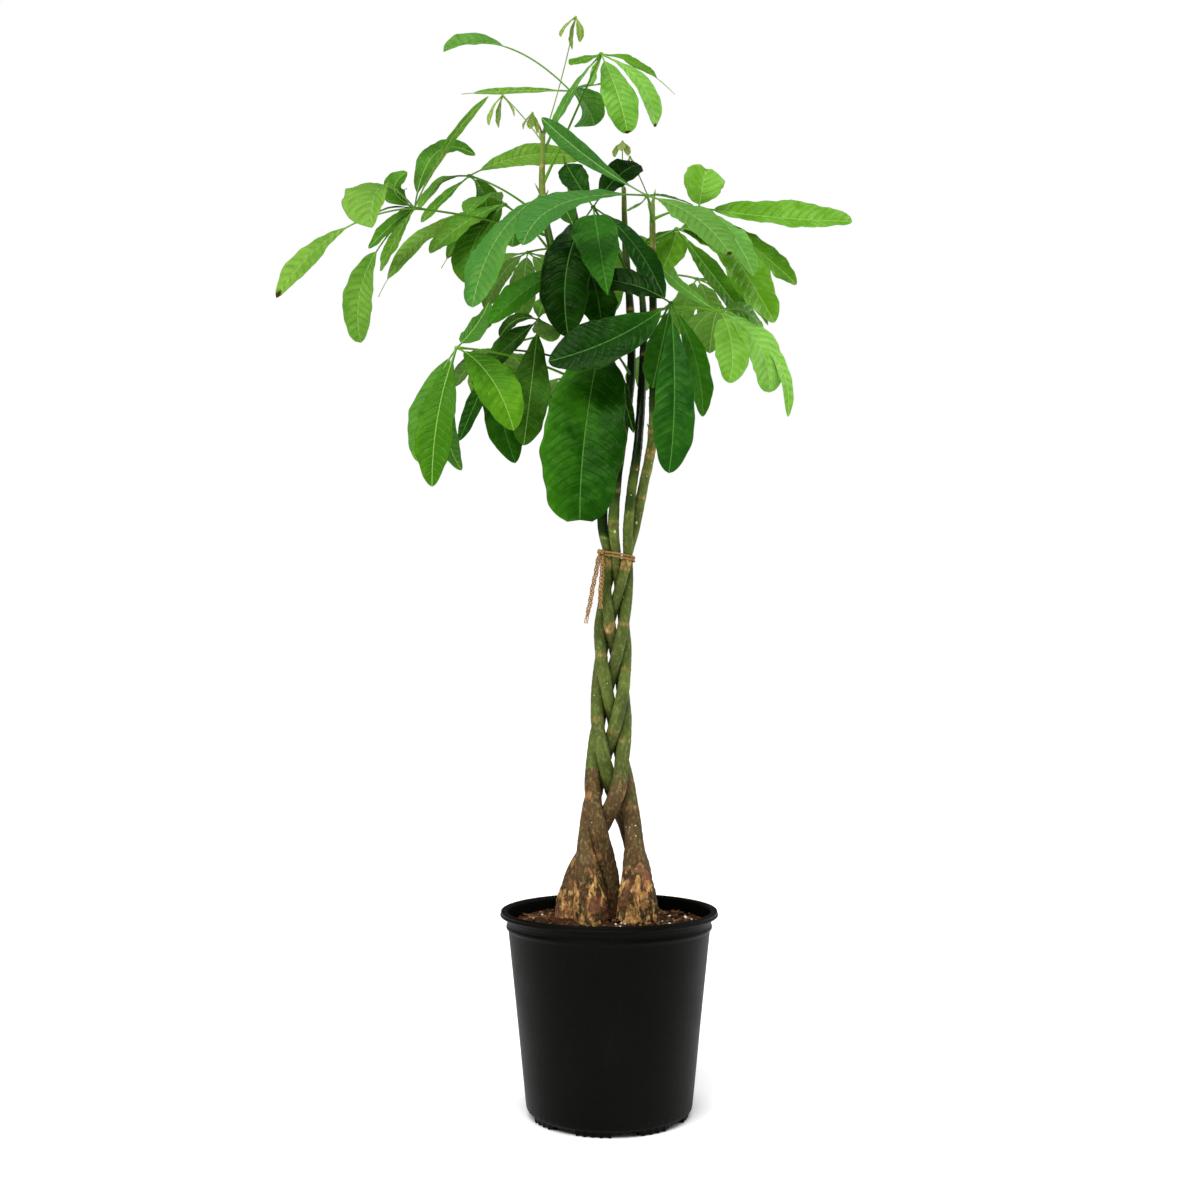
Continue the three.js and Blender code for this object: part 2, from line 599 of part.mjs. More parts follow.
// A thin folded blade whose midrib is the parabola through hub, middle and tip.
// Both faces are split by the same diagonals, so they never cross.
function bladeGeometry(hub, face, spec, isPlain = false) {
  const isSimple = isPlain || spec.width < NARROW;
  const columns = isSimple ? FLAT : FOLDED;
  const wide = spec.notch ? NOTCHED_STATIONS : BLADE_STATIONS;
  const stations = isSimple ? PLAIN_STATIONS : wide;
  const middle = new THREE.Vector3(...spec.middle);
  const tip = new THREE.Vector3(...spec.tip);
  const looks = new THREE.Vector3(...(spec.face ?? face));
  const [left, right] = spec.sides ?? [1, 1];
  const depth = (spec.notch ?? 0) * (hub.distanceTo(middle) + middle.distanceTo(tip));
  const positions = [];
  for (const u of stations) {
    const point = hub.clone().multiplyScalar((1 - u) * (1 - 2 * u))
      .addScaledVector(middle, 4 * u * (1 - u))
      .addScaledVector(tip, u * (2 * u - 1));
    const along = hub.clone().multiplyScalar(4 * u - 3)
      .addScaledVector(middle, 4 - 8 * u)
      .addScaledVector(tip, 4 * u - 1)
      .normalize();
    const normal = looks.clone().addScaledVector(along, -looks.dot(along)).normalize();
    const across = new THREE.Vector3().crossVectors(along, normal);
    const least = u < 0.5 ? BLADE_ROOT_HALF_WIDTH : BLADE_TIP_HALF_WIDTH;
    const half = (spec.width / 2) * outline(u, spec);
    for (const side of [1, -1]) {
      for (const v of columns) {
        const reach = Math.max(half * (v > 0 ? left : right), least);
        const lift = BLADE_FOLD * reach * Math.abs(v) + (side * BLADE_THICKNESS) / 2;
        const back = v === 0 ? depth * Math.max(2 * u - 1, 0) : 0;
        const corner = point.clone().addScaledVector(across, reach * v)
          .addScaledVector(normal, lift).addScaledVector(along, -back);
        positions.push(corner.x, corner.y, corner.z);
      }
    }
  }
  const triangles = [];
  const quad = (a, b, c, d) => triangles.push(a, b, c, a, c, d);
  const across = columns.length;
  const ring = 2 * across;
  const spans = stations.length - 1;
  for (let i = 0; i < spans; i += 1) {
    const here = i * ring;
    const next = here + ring;
    for (let column = 0; column < across - 1; column += 1) {
      const a = here + column;
      const b = next + column;
      quad(a + 1, b + 1, b, a);
      triangles.push(a + across, b + across + 1, a + across + 1, a + across, b + across, b + across + 1);
    }
    quad(here, next, next + across, here + across);
    quad(here + ring - 1, next + ring - 1, next + across - 1, here + across - 1);
  }
  const end = spans * ring;
  for (let column = 0; column < across - 1; column += 1) {
    quad(column, column + across, column + across + 1, column + 1);
    quad(end + column + 1, end + column + across + 1, end + column + across, end + column);
  }
  return closedGeometry(positions, triangles);
}

function knob(centre, radius) {
  return new THREE.OctahedronGeometry(radius, 0).translate(centre.x, centre.y, centre.z);
}

function stalkGeometry(from, bend, to, rootRadius, tipRadius) {
  const curve = new THREE.QuadraticBezierCurve3(from, bend, to);
  const points = curve.getPoints(PETIOLE_STEPS);
  const radii = points.map((_, i) => {
    const share = i / PETIOLE_STEPS;
    return THREE.MathUtils.lerp(tipRadius, rootRadius, (1 - share) ** 4);
  });
  return roundBar(points, radii, PETIOLE_SIDES);
}

// A palmate leaf: petiole, hub and leaflets in one piece, cut clear of its stem.
function compoundLeaf(leaf, stemSolid, path) {
  const hub = new THREE.Vector3(...leaf.hub);
  const root = pathPointAt(path, leaf.root);
  const bend = root.clone().add(hub).multiplyScalar(0.5);
  bend.z += (leaf.rise ?? PETIOLE_RISE) * root.distanceTo(hub);
  const pieces = [
    solidOf(stalkGeometry(root, bend, hub, PETIOLE_ROOT_RADIUS, PETIOLE_RADIUS)),
    solidOf(knob(hub, HUB_RADIUS)),
    ...leaf.leaflets.map((spec) => solidOf(bladeGeometry(hub, leaf.face, spec, leaf.isPlain))),
  ];
  return joined(pieces).subtract(stemSolid);
}

// Leaflets spread like fingers about the leaf's heading, the outer ones shorter.
function fanLeaflets(leaf) {
  const hub = new THREE.Vector3(...leaf.hub);
  return Array.from({ length: FAN_COUNT }, (_, i) => {
    const share = i / (FAN_COUNT - 1) - 0.5;
    const angle = THREE.MathUtils.degToRad(leaf.heading + share * leaf.spread);
    const length = leaf.reach * (1 - (1 - FAN_SIDE_SHARE) * Math.abs(share) * 2);
    const out = new THREE.Vector3(Math.cos(angle), Math.sin(angle), 0);
    const tip = hub.clone().addScaledVector(out, length * FAN_OUT);
    tip.z -= length * FAN_DROP;
    const middle = hub.clone().lerp(tip, 0.5).addScaledVector(out, length * FAN_ARCH_OUT);
    middle.z += length * FAN_BULGE;
    return leaflet(tip.toArray(), middle.toArray(), FAN_WIDTH, {
      face: [out.x * FAN_LOOK[0], out.y * FAN_LOOK[0], FAN_LOOK[1]], neck: FAN_NECK,
    });
  });
}

// A young leaf: a thin stalk, a small hub and leaflets that hang folded from it.
function bud(spec, stemSolid, path) {
  const hub = new THREE.Vector3(...spec.hub);
  const root = pathPointAt(path, spec.root);
  const bend = new THREE.Vector3(...spec.stalk);
  const leaflets = spec.tips.map((tip) => {
    const end = new THREE.Vector3(...tip);
    const out = end.clone().sub(hub).setZ(0).normalize();
    const middle = hub.clone().lerp(end, 0.5).addScaledVector(out, BUD_ARCH * hub.distanceTo(end));
    const face = [out.x, out.y + BUD_LOOK[1], BUD_LOOK[2]];
    return solidOf(bladeGeometry(hub, face, leaflet(tip, middle.toArray(), BUD_WIDTH), true));
  });
  return joined([
    solidOf(stalkGeometry(root, bend, hub, BUD_ROOT_RADIUS, BUD_STALK_RADIUS)),
    solidOf(knob(hub, BUD_HUB_RADIUS)),
    ...leaflets,
  ]).subtract(stemSolid);
}

// Pot

function potWallRadius(z) {
  const share = (z - FOOT_HEIGHT) / (POT_HEIGHT - POT_LIP_HEIGHT - POT_BAND_HEIGHT - FOOT_HEIGHT);
  return POT_BASE_RADIUS + (POT_SHOULDER_RADIUS - POT_BASE_RADIUS) * share;
}

function potSolid() {
  const lipFoot = POT_HEIGHT - POT_LIP_HEIGHT;
  const bandFoot = lipFoot - POT_BAND_HEIGHT;
  const inside = POT_BAND_RADIUS - POT_WALL;
  const profile = [
    [0, 0], [FOOT_PAD_RADIUS, 0], [FOOT_PAD_RADIUS + 1, FOOT_FLOOR_HEIGHT],
    [FOOT_INNER_RADIUS - 1, FOOT_FLOOR_HEIGHT], [FOOT_INNER_RADIUS, 0],
    [FOOT_OUTER_RADIUS, 0], [FOOT_OUTER_RADIUS, FOOT_HEIGHT - POT_EDGE], [POT_BASE_RADIUS, FOOT_HEIGHT],
    [POT_SHOULDER_RADIUS, bandFoot], [POT_BAND_RADIUS, bandFoot + POT_EDGE], [POT_BAND_RADIUS, lipFoot],
    [POT_LIP_RADIUS, lipFoot + 1], [POT_LIP_RADIUS, POT_HEIGHT - POT_EDGE],
    [POT_LIP_RADIUS - POT_EDGE, POT_HEIGHT], [inside + POT_EDGE, POT_HEIGHT], [inside, lipFoot],
    [inside, bandFoot + POT_EDGE],
    [POT_SHOULDER_RADIUS - POT_WALL, bandFoot], [POT_BASE_RADIUS - POT_WALL, FOOT_HEIGHT], [0, FOOT_HEIGHT],
  ].map(([r, z]) => new THREE.Vector2(r, z));
  const turned = new THREE.LatheGeometry(profile, POT_SEGMENTS).rotateX(Math.PI / 2);
  let pot = solidOf(turned);
  for (let i = 0; i < DRAIN_COUNT; i += 1) {
    const slot = new THREE.BoxGeometry(DRAIN_WIDTH, DRAIN_DEPTH, DRAIN_HEIGHT * 2);
    slot.translate(0, -FOOT_OUTER_RADIUS, 0);
    slot.rotateZ(THREE.MathUtils.degToRad(DRAIN_OFFSET + (360 * i) / DRAIN_COUNT));
    pot = pot.subtract(solidOf(slot));
  }
  return pot;
}

// Soil

function soilRelief(x, y) {
  const waves = Math.sin(x * 0.11 + 1.3) * Math.cos(y * 0.13) + 0.6 * Math.sin(x * 0.23 - y * 0.19);
  const mound = SOIL_MOUND * Math.exp(-(x * x + y * y) / (SOIL_MOUND_RADIUS * SOIL_MOUND_RADIUS));
  return SOIL_RELIEF * waves + mound;
}

function soilSolid(feet) {
  const floor = FOOT_HEIGHT + GAP;
  const inset = POT_WALL + SOIL_CLEARANCE;
  const rim = potWallRadius(SOIL_TOP - SOIL_CHAMFER * 2) - inset;
  const top = [];
  for (let ring = SOIL_RINGS; ring >= 0; ring -= 1) {
    top.push([(ring / SOIL_RINGS) * rim, SOIL_TOP]);
  }
  const profile = [
    [0, floor], [FOOT_OUTER_RADIUS - SOIL_CHAMFER, floor],
    [potWallRadius(FOOT_HEIGHT + SOIL_CHAMFER) - inset, FOOT_HEIGHT + SOIL_CHAMFER], ...top,
  ].map(([r, z]) => new THREE.Vector2(r, z));
  const geometry = new THREE.LatheGeometry(profile, SOIL_SEGMENTS).rotateX(Math.PI / 2);
  const positions = geometry.attributes.position;
  for (let i = 0; i < positions.count; i += 1) {
    if (positions.getZ(i) > SOIL_TOP - SOIL_CLEARANCE) {
      positions.setZ(i, SOIL_TOP + soilRelief(positions.getX(i), positions.getY(i)));
    }
  }
  return feet.reduce((soil, foot) => soil.subtract(foot), solidOf(geometry));
}

// Twine

// One turn of twine: in each direction it lies on the stem that stands out most.
function tieTurn(height, stemPaths) {
  const reach = PLAIT[PLAIT.length - 1].radius + GAP + TWINE_RADIUS + TIE_SLACK;
  const points = Array.from({ length: TIE_POINTS }, (_, i) => {
    const angle = (2 * Math.PI * i) / TIE_POINTS;
    const out = new THREE.Vector3(Math.cos(angle), Math.sin(angle), 0);
    const touched = stemPaths.map((path) => pathPointAt(path, height))
      .reduce((best, point) => (point.dot(out) > best.dot(out) ? point : best));
    const point = touched.clone().addScaledVector(out, reach);
    point.z = height - TIE_TILT * (point.x - TIE_CENTRE_X);
    return point;
  });
  return solidOf(roundBar(points, points.map(() => TWINE_RADIUS), TWINE_SIDES, true));
}

function tieSolid(stemPaths, stemsGrown) {
  const turns = TIE_TURN_HEIGHTS.map((height) => tieTurn(height, stemPaths));
  const knot = new THREE.SphereGeometry(1, KNOT_SIDES, KNOT_SIDES - 2)
    .scale(...KNOT_SIZE)
    .translate(...KNOT);
  return stemsGrown.reduce((tie, stem) => tie.subtract(stem), joined([...turns, solidOf(knot)]));
}

function tailGeometry(route) {
  const curve = new THREE.CatmullRomCurve3(route.map((point) => new THREE.Vector3(...point)));
  const section = new THREE.Shape();
  for (let side = 0; side < TAIL_SIDES; side += 1) {
    const angle = (2 * Math.PI * side) / TAIL_SIDES;
    const corner = [TAIL_RADIUS * Math.cos(angle), TAIL_RADIUS * Math.sin(angle)];
    if (side === 0) section.moveTo(...corner);
    else section.lineTo(...corner);
  }
  section.closePath();
  return new THREE.ExtrudeGeometry(section, {
    steps: Math.round(curve.getLength() / TAIL_STEP), extrudePath: curve, curveSegments: 1,
  });
}

// The whole plant

const plant = new THREE.Group();

function addPiece(name, geometry, finish) {
  const material = new THREE.MeshStandardMaterial({ ...finish, metalness: 0 });
  const mesh = new THREE.Mesh(geometry, material);
  mesh.name = name;
  plant.add(mesh);
}

const paths = {};
const stemSolids = {};
const grownSolids = {};
for (const [name, stem] of Object.entries(STEMS)) {
  const path = stemPath(stem);
  const grown = path.radii.map((radius) => radius + GAP);
  const first = path.points[0].clone().add(new THREE.Vector3(0, 0, -GAP));
  paths[name] = path;
  stemSolids[name] = solidOf(roundBar(path.points, path.radii, STEM_SIDES));
  grownSolids[name] = solidOf(roundBar([first, ...path.points.slice(1)], grown, STEM_SIDES));
}

// Where strands press on each other, each gives way to those before it.
const stemNames = Object.keys(STEMS);
stemNames.forEach((name, i) => {
  const trimmed = stemNames.slice(0, i)
    .reduce((solid, other) => solid.subtract(grownSolids[other]), stemSolids[name]);
  addPiece(name, geometryOf(trimmed), COLOURS.bark);
});

addPiece('pot', geometryOf(potSolid()), COLOURS.pot);
const allGrown = Object.values(grownSolids);
addPiece('soil', geometryOf(soilSolid(allGrown)), COLOURS.soil);
addPiece('twine_tie', geometryOf(tieSolid(Object.values(paths), allGrown)), COLOURS.twine);
addPiece('twine_tail_long', tailGeometry(LONG_TAIL), COLOURS.twine);
addPiece('twine_tail_short', tailGeometry(SHORT_TAIL), COLOURS.twine);

for (const [name, leaf] of Object.entries(LEAVES)) {
  addPiece(name, geometryOf(compoundLeaf(leaf, grownSolids[leaf.stem], paths[leaf.stem])), COLOURS.leaf);
}
for (const [name, leaf] of Object.entries(BACK_LEAVES)) {
  const whole = { ...leaf, isPlain: true, leaflets: fanLeaflets(leaf) };
  addPiece(name, geometryOf(compoundLeaf(whole, grownSolids[leaf.stem], paths[leaf.stem])), COLOURS.leaf);
}
for (const [name, spec] of Object.entries(BUDS)) {
  addPiece(name, geometryOf(bud(spec, grownSolids[spec.stem], paths[spec.stem])), COLOURS.youngLeaf);
}

export default plant;
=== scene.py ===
"""A potted money tree: five plaited stems in a grower's pot, tied with twine, with palmate leaves.

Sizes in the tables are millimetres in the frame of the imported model: +Z up, X to the right
and -Y towards the viewer, with the origin under the middle of the pot. Meshes are metres.
"""

import logging
import math
from dataclasses import dataclass, field
from enum import Enum
from functools import cache
from itertools import combinations
from typing import Optional, Sequence

import bpy
import numpy as np
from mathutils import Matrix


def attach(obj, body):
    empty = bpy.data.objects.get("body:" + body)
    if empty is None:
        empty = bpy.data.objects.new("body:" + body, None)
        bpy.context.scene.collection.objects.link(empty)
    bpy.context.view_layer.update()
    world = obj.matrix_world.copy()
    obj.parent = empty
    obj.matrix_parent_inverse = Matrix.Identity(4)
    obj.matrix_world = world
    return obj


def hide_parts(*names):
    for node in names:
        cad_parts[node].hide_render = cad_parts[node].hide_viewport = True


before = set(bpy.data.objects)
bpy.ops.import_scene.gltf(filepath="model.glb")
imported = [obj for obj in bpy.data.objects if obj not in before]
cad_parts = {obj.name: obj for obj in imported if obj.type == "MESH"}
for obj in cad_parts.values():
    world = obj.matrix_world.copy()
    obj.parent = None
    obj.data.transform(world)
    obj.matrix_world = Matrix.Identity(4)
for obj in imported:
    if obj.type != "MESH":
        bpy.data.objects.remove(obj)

LOG = logging.getLogger("money_tree")
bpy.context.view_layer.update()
MM = 0.001
BODY = "root"
FULL_TURN = 2 * math.pi

Point = Sequence[float]
Socket = bpy.types.NodeSocket


class Slot(Enum):
    """The material slots, each with one finish."""

    POT = "pot_plastic"
    SOIL = "potting_soil"
    BARK = "bark"
    TWINE = "twine"
    LEAF_DARK = "leaf_dark"
    LEAF_MID = "leaf_mid"
    LEAF_BRIGHT = "leaf_bright"
    LEAF_YOUNG = "leaf_young"


# Numbers on arrays


def unit(vectors: np.ndarray) -> np.ndarray:
    """Vectors, x y z on the last axis, divided by their lengths."""
    return vectors / np.maximum(np.linalg.norm(vectors, axis=-1, keepdims=True), 1e-9)


def smooth_step(low: float, high: float, values: np.ndarray) -> np.ndarray:
    """Rises from 0 at low to 1 at high, as 3s^2 - 2s^3 of the share s between them."""
    share = np.clip((np.asarray(values, float) - low) / (high - low), 0, 1)
    return share * share * (3 - 2 * share)


def triples(*parts: object) -> np.ndarray:
    """Joins three arrays or numbers of matching shapes as vectors."""
    return np.stack(np.broadcast_arrays(*parts), -1)


def turn_angles(count: int) -> np.ndarray:
    """Angles that share a full turn evenly."""
    return FULL_TURN * np.arange(count) / count


def polar(radius: object, angle: object, z: object = 0.0) -> np.ndarray:
    """Points at a radius, an angle from X and a height."""
    return triples(radius * np.cos(angle), radius * np.sin(angle), z)


def ways(points: np.ndarray) -> np.ndarray:
    """How far along a line each of its points lies, in their own unit."""
    return np.concatenate([[0], np.cumsum(np.linalg.norm(np.diff(points, axis=0), axis=1))])


def points_at(where: object, key: np.ndarray, points: np.ndarray) -> np.ndarray:
    """Points of a line where its rising key has the values where."""
    return np.stack([np.interp(where, key, points[:, i]) for i in range(3)], -1)


def ripple(points: np.ndarray, wavelength: float, seed: int, waves: int = 8) -> np.ndarray:
    """A smooth uneven field: the sum of sine waves in random directions and lengths.

    Args:
        points: places in mm, x, y, z on the last axis.
        wavelength: the mean length of a wave in mm.
        seed: chooses the waves.
        waves: how many are added.

    Returns:
        One value a point, mostly between -1 and 1.
    """
    rng = np.random.default_rng(seed)
    directions = unit(rng.normal(size=(waves, 3)))
    lengths = wavelength * rng.uniform(0.6, 1.6, waves)
    phases = rng.uniform(0, FULL_TURN, waves)
    angles = points @ (directions / lengths[:, None]).T * FULL_TURN + phases
    return np.sin(angles).sum(-1) / math.sqrt(waves)


def smooth_curve(knots: Sequence[Point], spans: int) -> np.ndarray:
    """A centripetal Catmull-Rom curve through knots, with each span cut alike.

    Each span is blended from straight lines whose times are the square roots of the
    distances between knots, so the curve neither loops nor overshoots.

    Args:
        knots: the points that it passes through.
        spans: the pieces that each span between two knots is cut into.

    Returns:
        The points of the curve, both ends with them.
    """
    p = np.asarray(knots, float)
    p = np.vstack([2 * p[0] - p[1], p, 2 * p[-1] - p[-2]])
    share = np.linspace(0, 1, spans, endpoint=False)[:, None]
    pieces = []
    for a, b, c, d in zip(p, p[1:], p[2:], p[3:]):
        t1, t2, t3 = np.cumsum([np.linalg.norm(n - m) ** 0.5 for m, n in ((a, b), (b, c), (c, d))])
        t = t1 + (t2 - t1) * share
        ab = a + (b - a) * t / t1
        bc = b + (c - b) * (t - t1) / (t2 - t1)
        cd = c + (d - c) * (t - t2) / (t3 - t2)
        abc = ab + (bc - ab) * t / t2
        bcd = bc + (cd - bc) * (t - t1) / (t3 - t1)
        pieces.append(abc + (bcd - abc) * (t - t1) / (t2 - t1))
    return np.vstack([*pieces, p[-2:-1]])


def grid_quads(rows: int, columns: int, ring: bool = False) -> np.ndarray:
    """Faces of four points between the neighbouring rows of a grid.

    Args:
        rows: points along it.
        columns: points round it, the last next to the first.
        ring: joins the last row to the first.

    Returns:
        Four point numbers a face.
    """
    i = np.arange(rows if ring else rows - 1)[:, None]
    j = np.arange(columns)[None]
    here, there = i * columns, (i + 1) % rows * columns
    after = (j + 1) % columns
    return np.stack(np.broadcast_arrays(here + j, here + after, there + after, there + j), -1).reshape(-1, 4)


def pole_tris(first: int, pole: int, columns: int, at_end: bool) -> np.ndarray:
    """A fan of faces that closes a ring of points and looks out of the tube.

    Args:
        first: the number of the ring's first point.
        pole: the number of the point in the ring's middle.
        columns: points on the ring.
        at_end: says that it closes the tube's last ring and not its first.

    Returns:
        Three point numbers a face.
    """
    j = np.arange(columns)
    ends = [first + j, first + (j + 1) % columns]
    if not at_end:
        ends.reverse()
    return np.stack([*ends, np.full(columns, pole)], -1)


def frames(path: np.ndarray, reference: Point, ring: bool = False) -> tuple[np.ndarray, np.ndarray]:
    """Directions across a path.

    Across is the reference with its part along the path taken away, and other is the cross
    product of along and across, so a section keeps one side towards the reference.

    Args:
        path: the points of the line.
        reference: a direction that the line never runs in, or one for each point.
        ring: says that the line closes on itself.

    Returns:
        Across and other, each an array of unit vectors.
    """
    along = unit(np.roll(path, -1, 0) - np.roll(path, 1, 0) if ring else np.gradient(path, axis=0))
    side = np.asarray(reference, float)
    across = unit(side - (along * side).sum(-1)[:, None] * along)
    return across, np.cross(along, across)


def tube(path: np.ndarray, radii: object, sides: int, reference: Point, ring: bool = False) -> np.ndarray:
    """Points on a round bar: path + r (across cos a + other sin a), with a running round it.

    Args:
        path: the bar's centre line.
        radii: the radius, one for all, one a point of the line, or one a point and side.
        sides: points round it.
        reference: a direction that the line never runs in, or one for each point.
        ring: says that the line closes on itself.

    Returns:
        A grid of points, line by side.
    """
    across, other = frames(path, reference, ring)
    angle = turn_angles(sides)[:, None]
    reach = np.asarray(radii, float)
    reach = reach[:, None] if reach.ndim == 1 else reach
    spokes = across[:, None] * np.cos(angle) + other[:, None] * np.sin(angle)
    return path[:, None] + spokes * reach[..., None]


@cache
def pebble() -> tuple[np.ndarray, np.ndarray]:
    """A ball of 42 points: an icosahedron whose faces are split once and pushed out round.

    Its corners are (+-1, +-golden, 0) with their numbers shifted round, and each face joins
    three corners that lie 2 apart.

    Returns:
        The points and the faces.
    """
    golden = (1 + 5 ** 0.5) / 2
    points = [np.roll([a, b * golden, 0.0], k) for k in range(3) for a in (-1, 1) for b in (-1, 1)]
    middles: dict[frozenset[int], int] = {}
    tris = []
    for a, b, c in combinations(range(len(points)), 3):
        if max(np.linalg.norm(points[m] - points[n]) for m, n in ((a, b), (b, c), (c, a))) > 2.1:
            continue
        if np.linalg.det([points[a], points[b], points[c]]) < 0:
            b, c = c, b
        for m, n in ((a, b), (b, c), (c, a)):
            if frozenset((m, n)) not in middles:
                middles[frozenset((m, n))] = len(points)
                points.append((points[m] + points[n]) / 2)
        ab, bc, ca = (middles[frozenset(pair)] for pair in ((a, b), (b, c), (c, a)))
        tris += [[a, ab, ca], [b, bc, ab], [c, ca, bc], [ab, bc, ca]]
    return unit(np.array(points)), np.array(tris)


def rotations(axes: np.ndarray, angles: np.ndarray) -> np.ndarray:
    """Matrices that turn about axes by angles a.

    Each is 1 + K sin a + K^2 (1 - cos a), where K takes the cross product with the axis.

    Args:
        axes: one axis for each angle, or one for all of them.
        angles: in radians.

    Returns:
        A matrix for each angle.
    """
    cross = np.cross(np.eye(3), axes[..., None, :])
    sine, cosine = np.sin(angles)[:, None, None], np.cos(angles)[:, None, None]
    return np.eye(3) + sine * cross + (1 - cosine) * cross @ cross


def random_turns(count: int, rng: np.random.Generator, tilt: float) -> np.ndarray:
    """Rotation matrices: a free turn about Z, then a lean about a free level axis.

    Args:
        count: how many.
        rng: the source of the turns.
        tilt: the most that each leans, in radians.

    Returns:
        The matrices.
    """
    turn, way = rng.uniform(0, FULL_TURN, (2, count))
    lean = rng.uniform(-tilt, tilt, count)
    return rotations(polar(1, way), lean) @ rotations(np.array([0, 0, 1]), turn)


class Shape:
    """Gathers the surfaces of one piece: points in mm, faces, and values at its points."""

    def __init__(self, *channels: str) -> None:
        """Starts empty.

        Args:
            channels: the names of the vectors that each point carries for its finish.
        """
        self.points: list[np.ndarray] = []
        self.faces: list[np.ndarray] = []
        self.values: dict[str, list[np.ndarray]] = {name: [] for name in channels}
        self.count = 0

    def add(self, points: np.ndarray, *faces: np.ndarray, **values: object) -> None:
        """Adds one surface.

        Args:
            points: its points, on any grid.
            faces: its faces, alike in each array, numbered from 0.
            values: for each channel three numbers a point, or three for all of them.
        """
        flat = points.reshape(-1, 3)
        self.points.append(flat)
        self.faces += [part + self.count for part in faces]
        for name, store in self.values.items():
            given = np.asarray(values.get(name, (0, 0, 0)), float)
            store.append(np.broadcast_to(given.reshape(-1, 3), flat.shape))
        self.count += len(flat)

    def add_closed(self, grid: np.ndarray, sheet: bool = False, **values: object) -> None:
        """Adds a tube that is closed by a pole at each end.

        Args:
            grid: its points, line by side.
            sheet: says that it is a flat skin, first one side and then the other, whose two
                sides are cut along the same diagonals so that they keep apart.
            values: for each channel three numbers a grid point, or three for all of them.
        """
        rows, columns = grid.shape[:2]
        whole = {}
        for name, given in {"": grid, **values}.items():
            flat = np.broadcast_to(np.asarray(given, float), grid.shape)
            whole[name] = np.concatenate([flat.reshape(-1, 3), flat[:1].mean(1), flat[-1:].mean(1)])
        total = rows * columns
        faces = [pole_tris(0, total, columns, False), pole_tris(total - columns, total + 1, columns, True)]
        quads = grid_quads(rows, columns)
        if sheet:
            first_side = np.arange(len(quads)) % columns < columns // 2
            faces += [quads[first_side][:, [0, 1, 3]], quads[first_side][:, [1, 2, 3]],
                      quads[~first_side][:, [0, 1, 2]], quads[~first_side][:, [0, 2, 3]]]
        else:
            faces.insert(0, quads)
        self.add(whole.pop(""), *faces, **whole)

    def scatter(self, form: tuple[np.ndarray, np.ndarray], places: np.ndarray, turns: np.ndarray,
                sizes: np.ndarray, **values: object) -> None:
        """Adds many copies of a small closed form: place + turn (size x form).

        Args:
            form: its points about its middle, and its faces.
            places: where each copy stands.
            turns: a rotation matrix for each copy.
            sizes: three sizes for each copy.
            values: for each channel three numbers a copy.
        """
        points, tris = form
        copies = np.einsum("nij,nkj->nki", turns, points * sizes[:, None]) + places[:, None]
        numbers = tris + np.arange(len(places))[:, None, None] * len(points)
        spread = {name: np.repeat(given, len(points), 0) for name, given in values.items()}
        self.add(copies, numbers.reshape(-1, 3), **spread)

    def make(self, name: str, slot: Slot, *nodes: str, flat: bool = False) -> bpy.types.Object:
        """Turns what was gathered into a piece that rides on the plant.

        Args:
            name: the piece's name.
            slot: the slot, which says its finish.
            nodes: the CAD nodes that it stands for.
            flat: leaves its faces flat instead of smooth.

        Returns:
            The new object.
        """
        mesh = bpy.data.meshes.new(name)
        points = np.concatenate(self.points) * MM
        order = sorted(self.faces, key=lambda part: -part.shape[1])
        corners = np.concatenate([part.ravel() for part in order])
        sides = np.concatenate([np.full(len(part), part.shape[1]) for part in order])
        mesh.vertices.add(len(points))
        mesh.vertices.foreach_set("co", points.astype(np.float32).ravel())
        mesh.loops.add(len(corners))
        mesh.loops.foreach_set("vertex_index", corners.astype(np.int32))
        mesh.polygons.add(len(sides))
        mesh.polygons.foreach_set("loop_start", (np.cumsum(sides) - sides).astype(np.int32))
        mesh.polygons.foreach_set("use_smooth", np.full(len(sides), not flat))
        for channel, store in self.values.items():
            layer = mesh.attributes.new(channel, "FLOAT_VECTOR", "POINT")
            layer.data.foreach_set("vector", np.concatenate(store).astype(np.float32).ravel())
        mesh.update(calc_edges=True)
        mesh.validate()
        mesh.materials.append(finish_of(slot))
        piece = bpy.data.objects.new(name, mesh)
        bpy.context.scene.collection.objects.link(piece)
        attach(piece, BODY)
        if nodes:
            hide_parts(*nodes)
        LOG.info("%s: %d triangles", name, int((sides - 2).sum()))
        return piece


# Finishes


def colour(code: str) -> tuple[float, float, float, float]:
    """A screen colour as the linear red, green and blue that shaders take.

    Args:
        code: six hexadecimal digits, such as 2f7a1c.

    Returns:
        The three numbers, and 1 for opaque.
    """
    parts = [int(code[i:i + 2], 16) / 255 for i in (0, 2, 4)]
    linear = [p / 12.92 if p <= 0.04045 else ((p + 0.055) / 1.055) ** 2.4 for p in parts]
    return (*linear, 1.0)


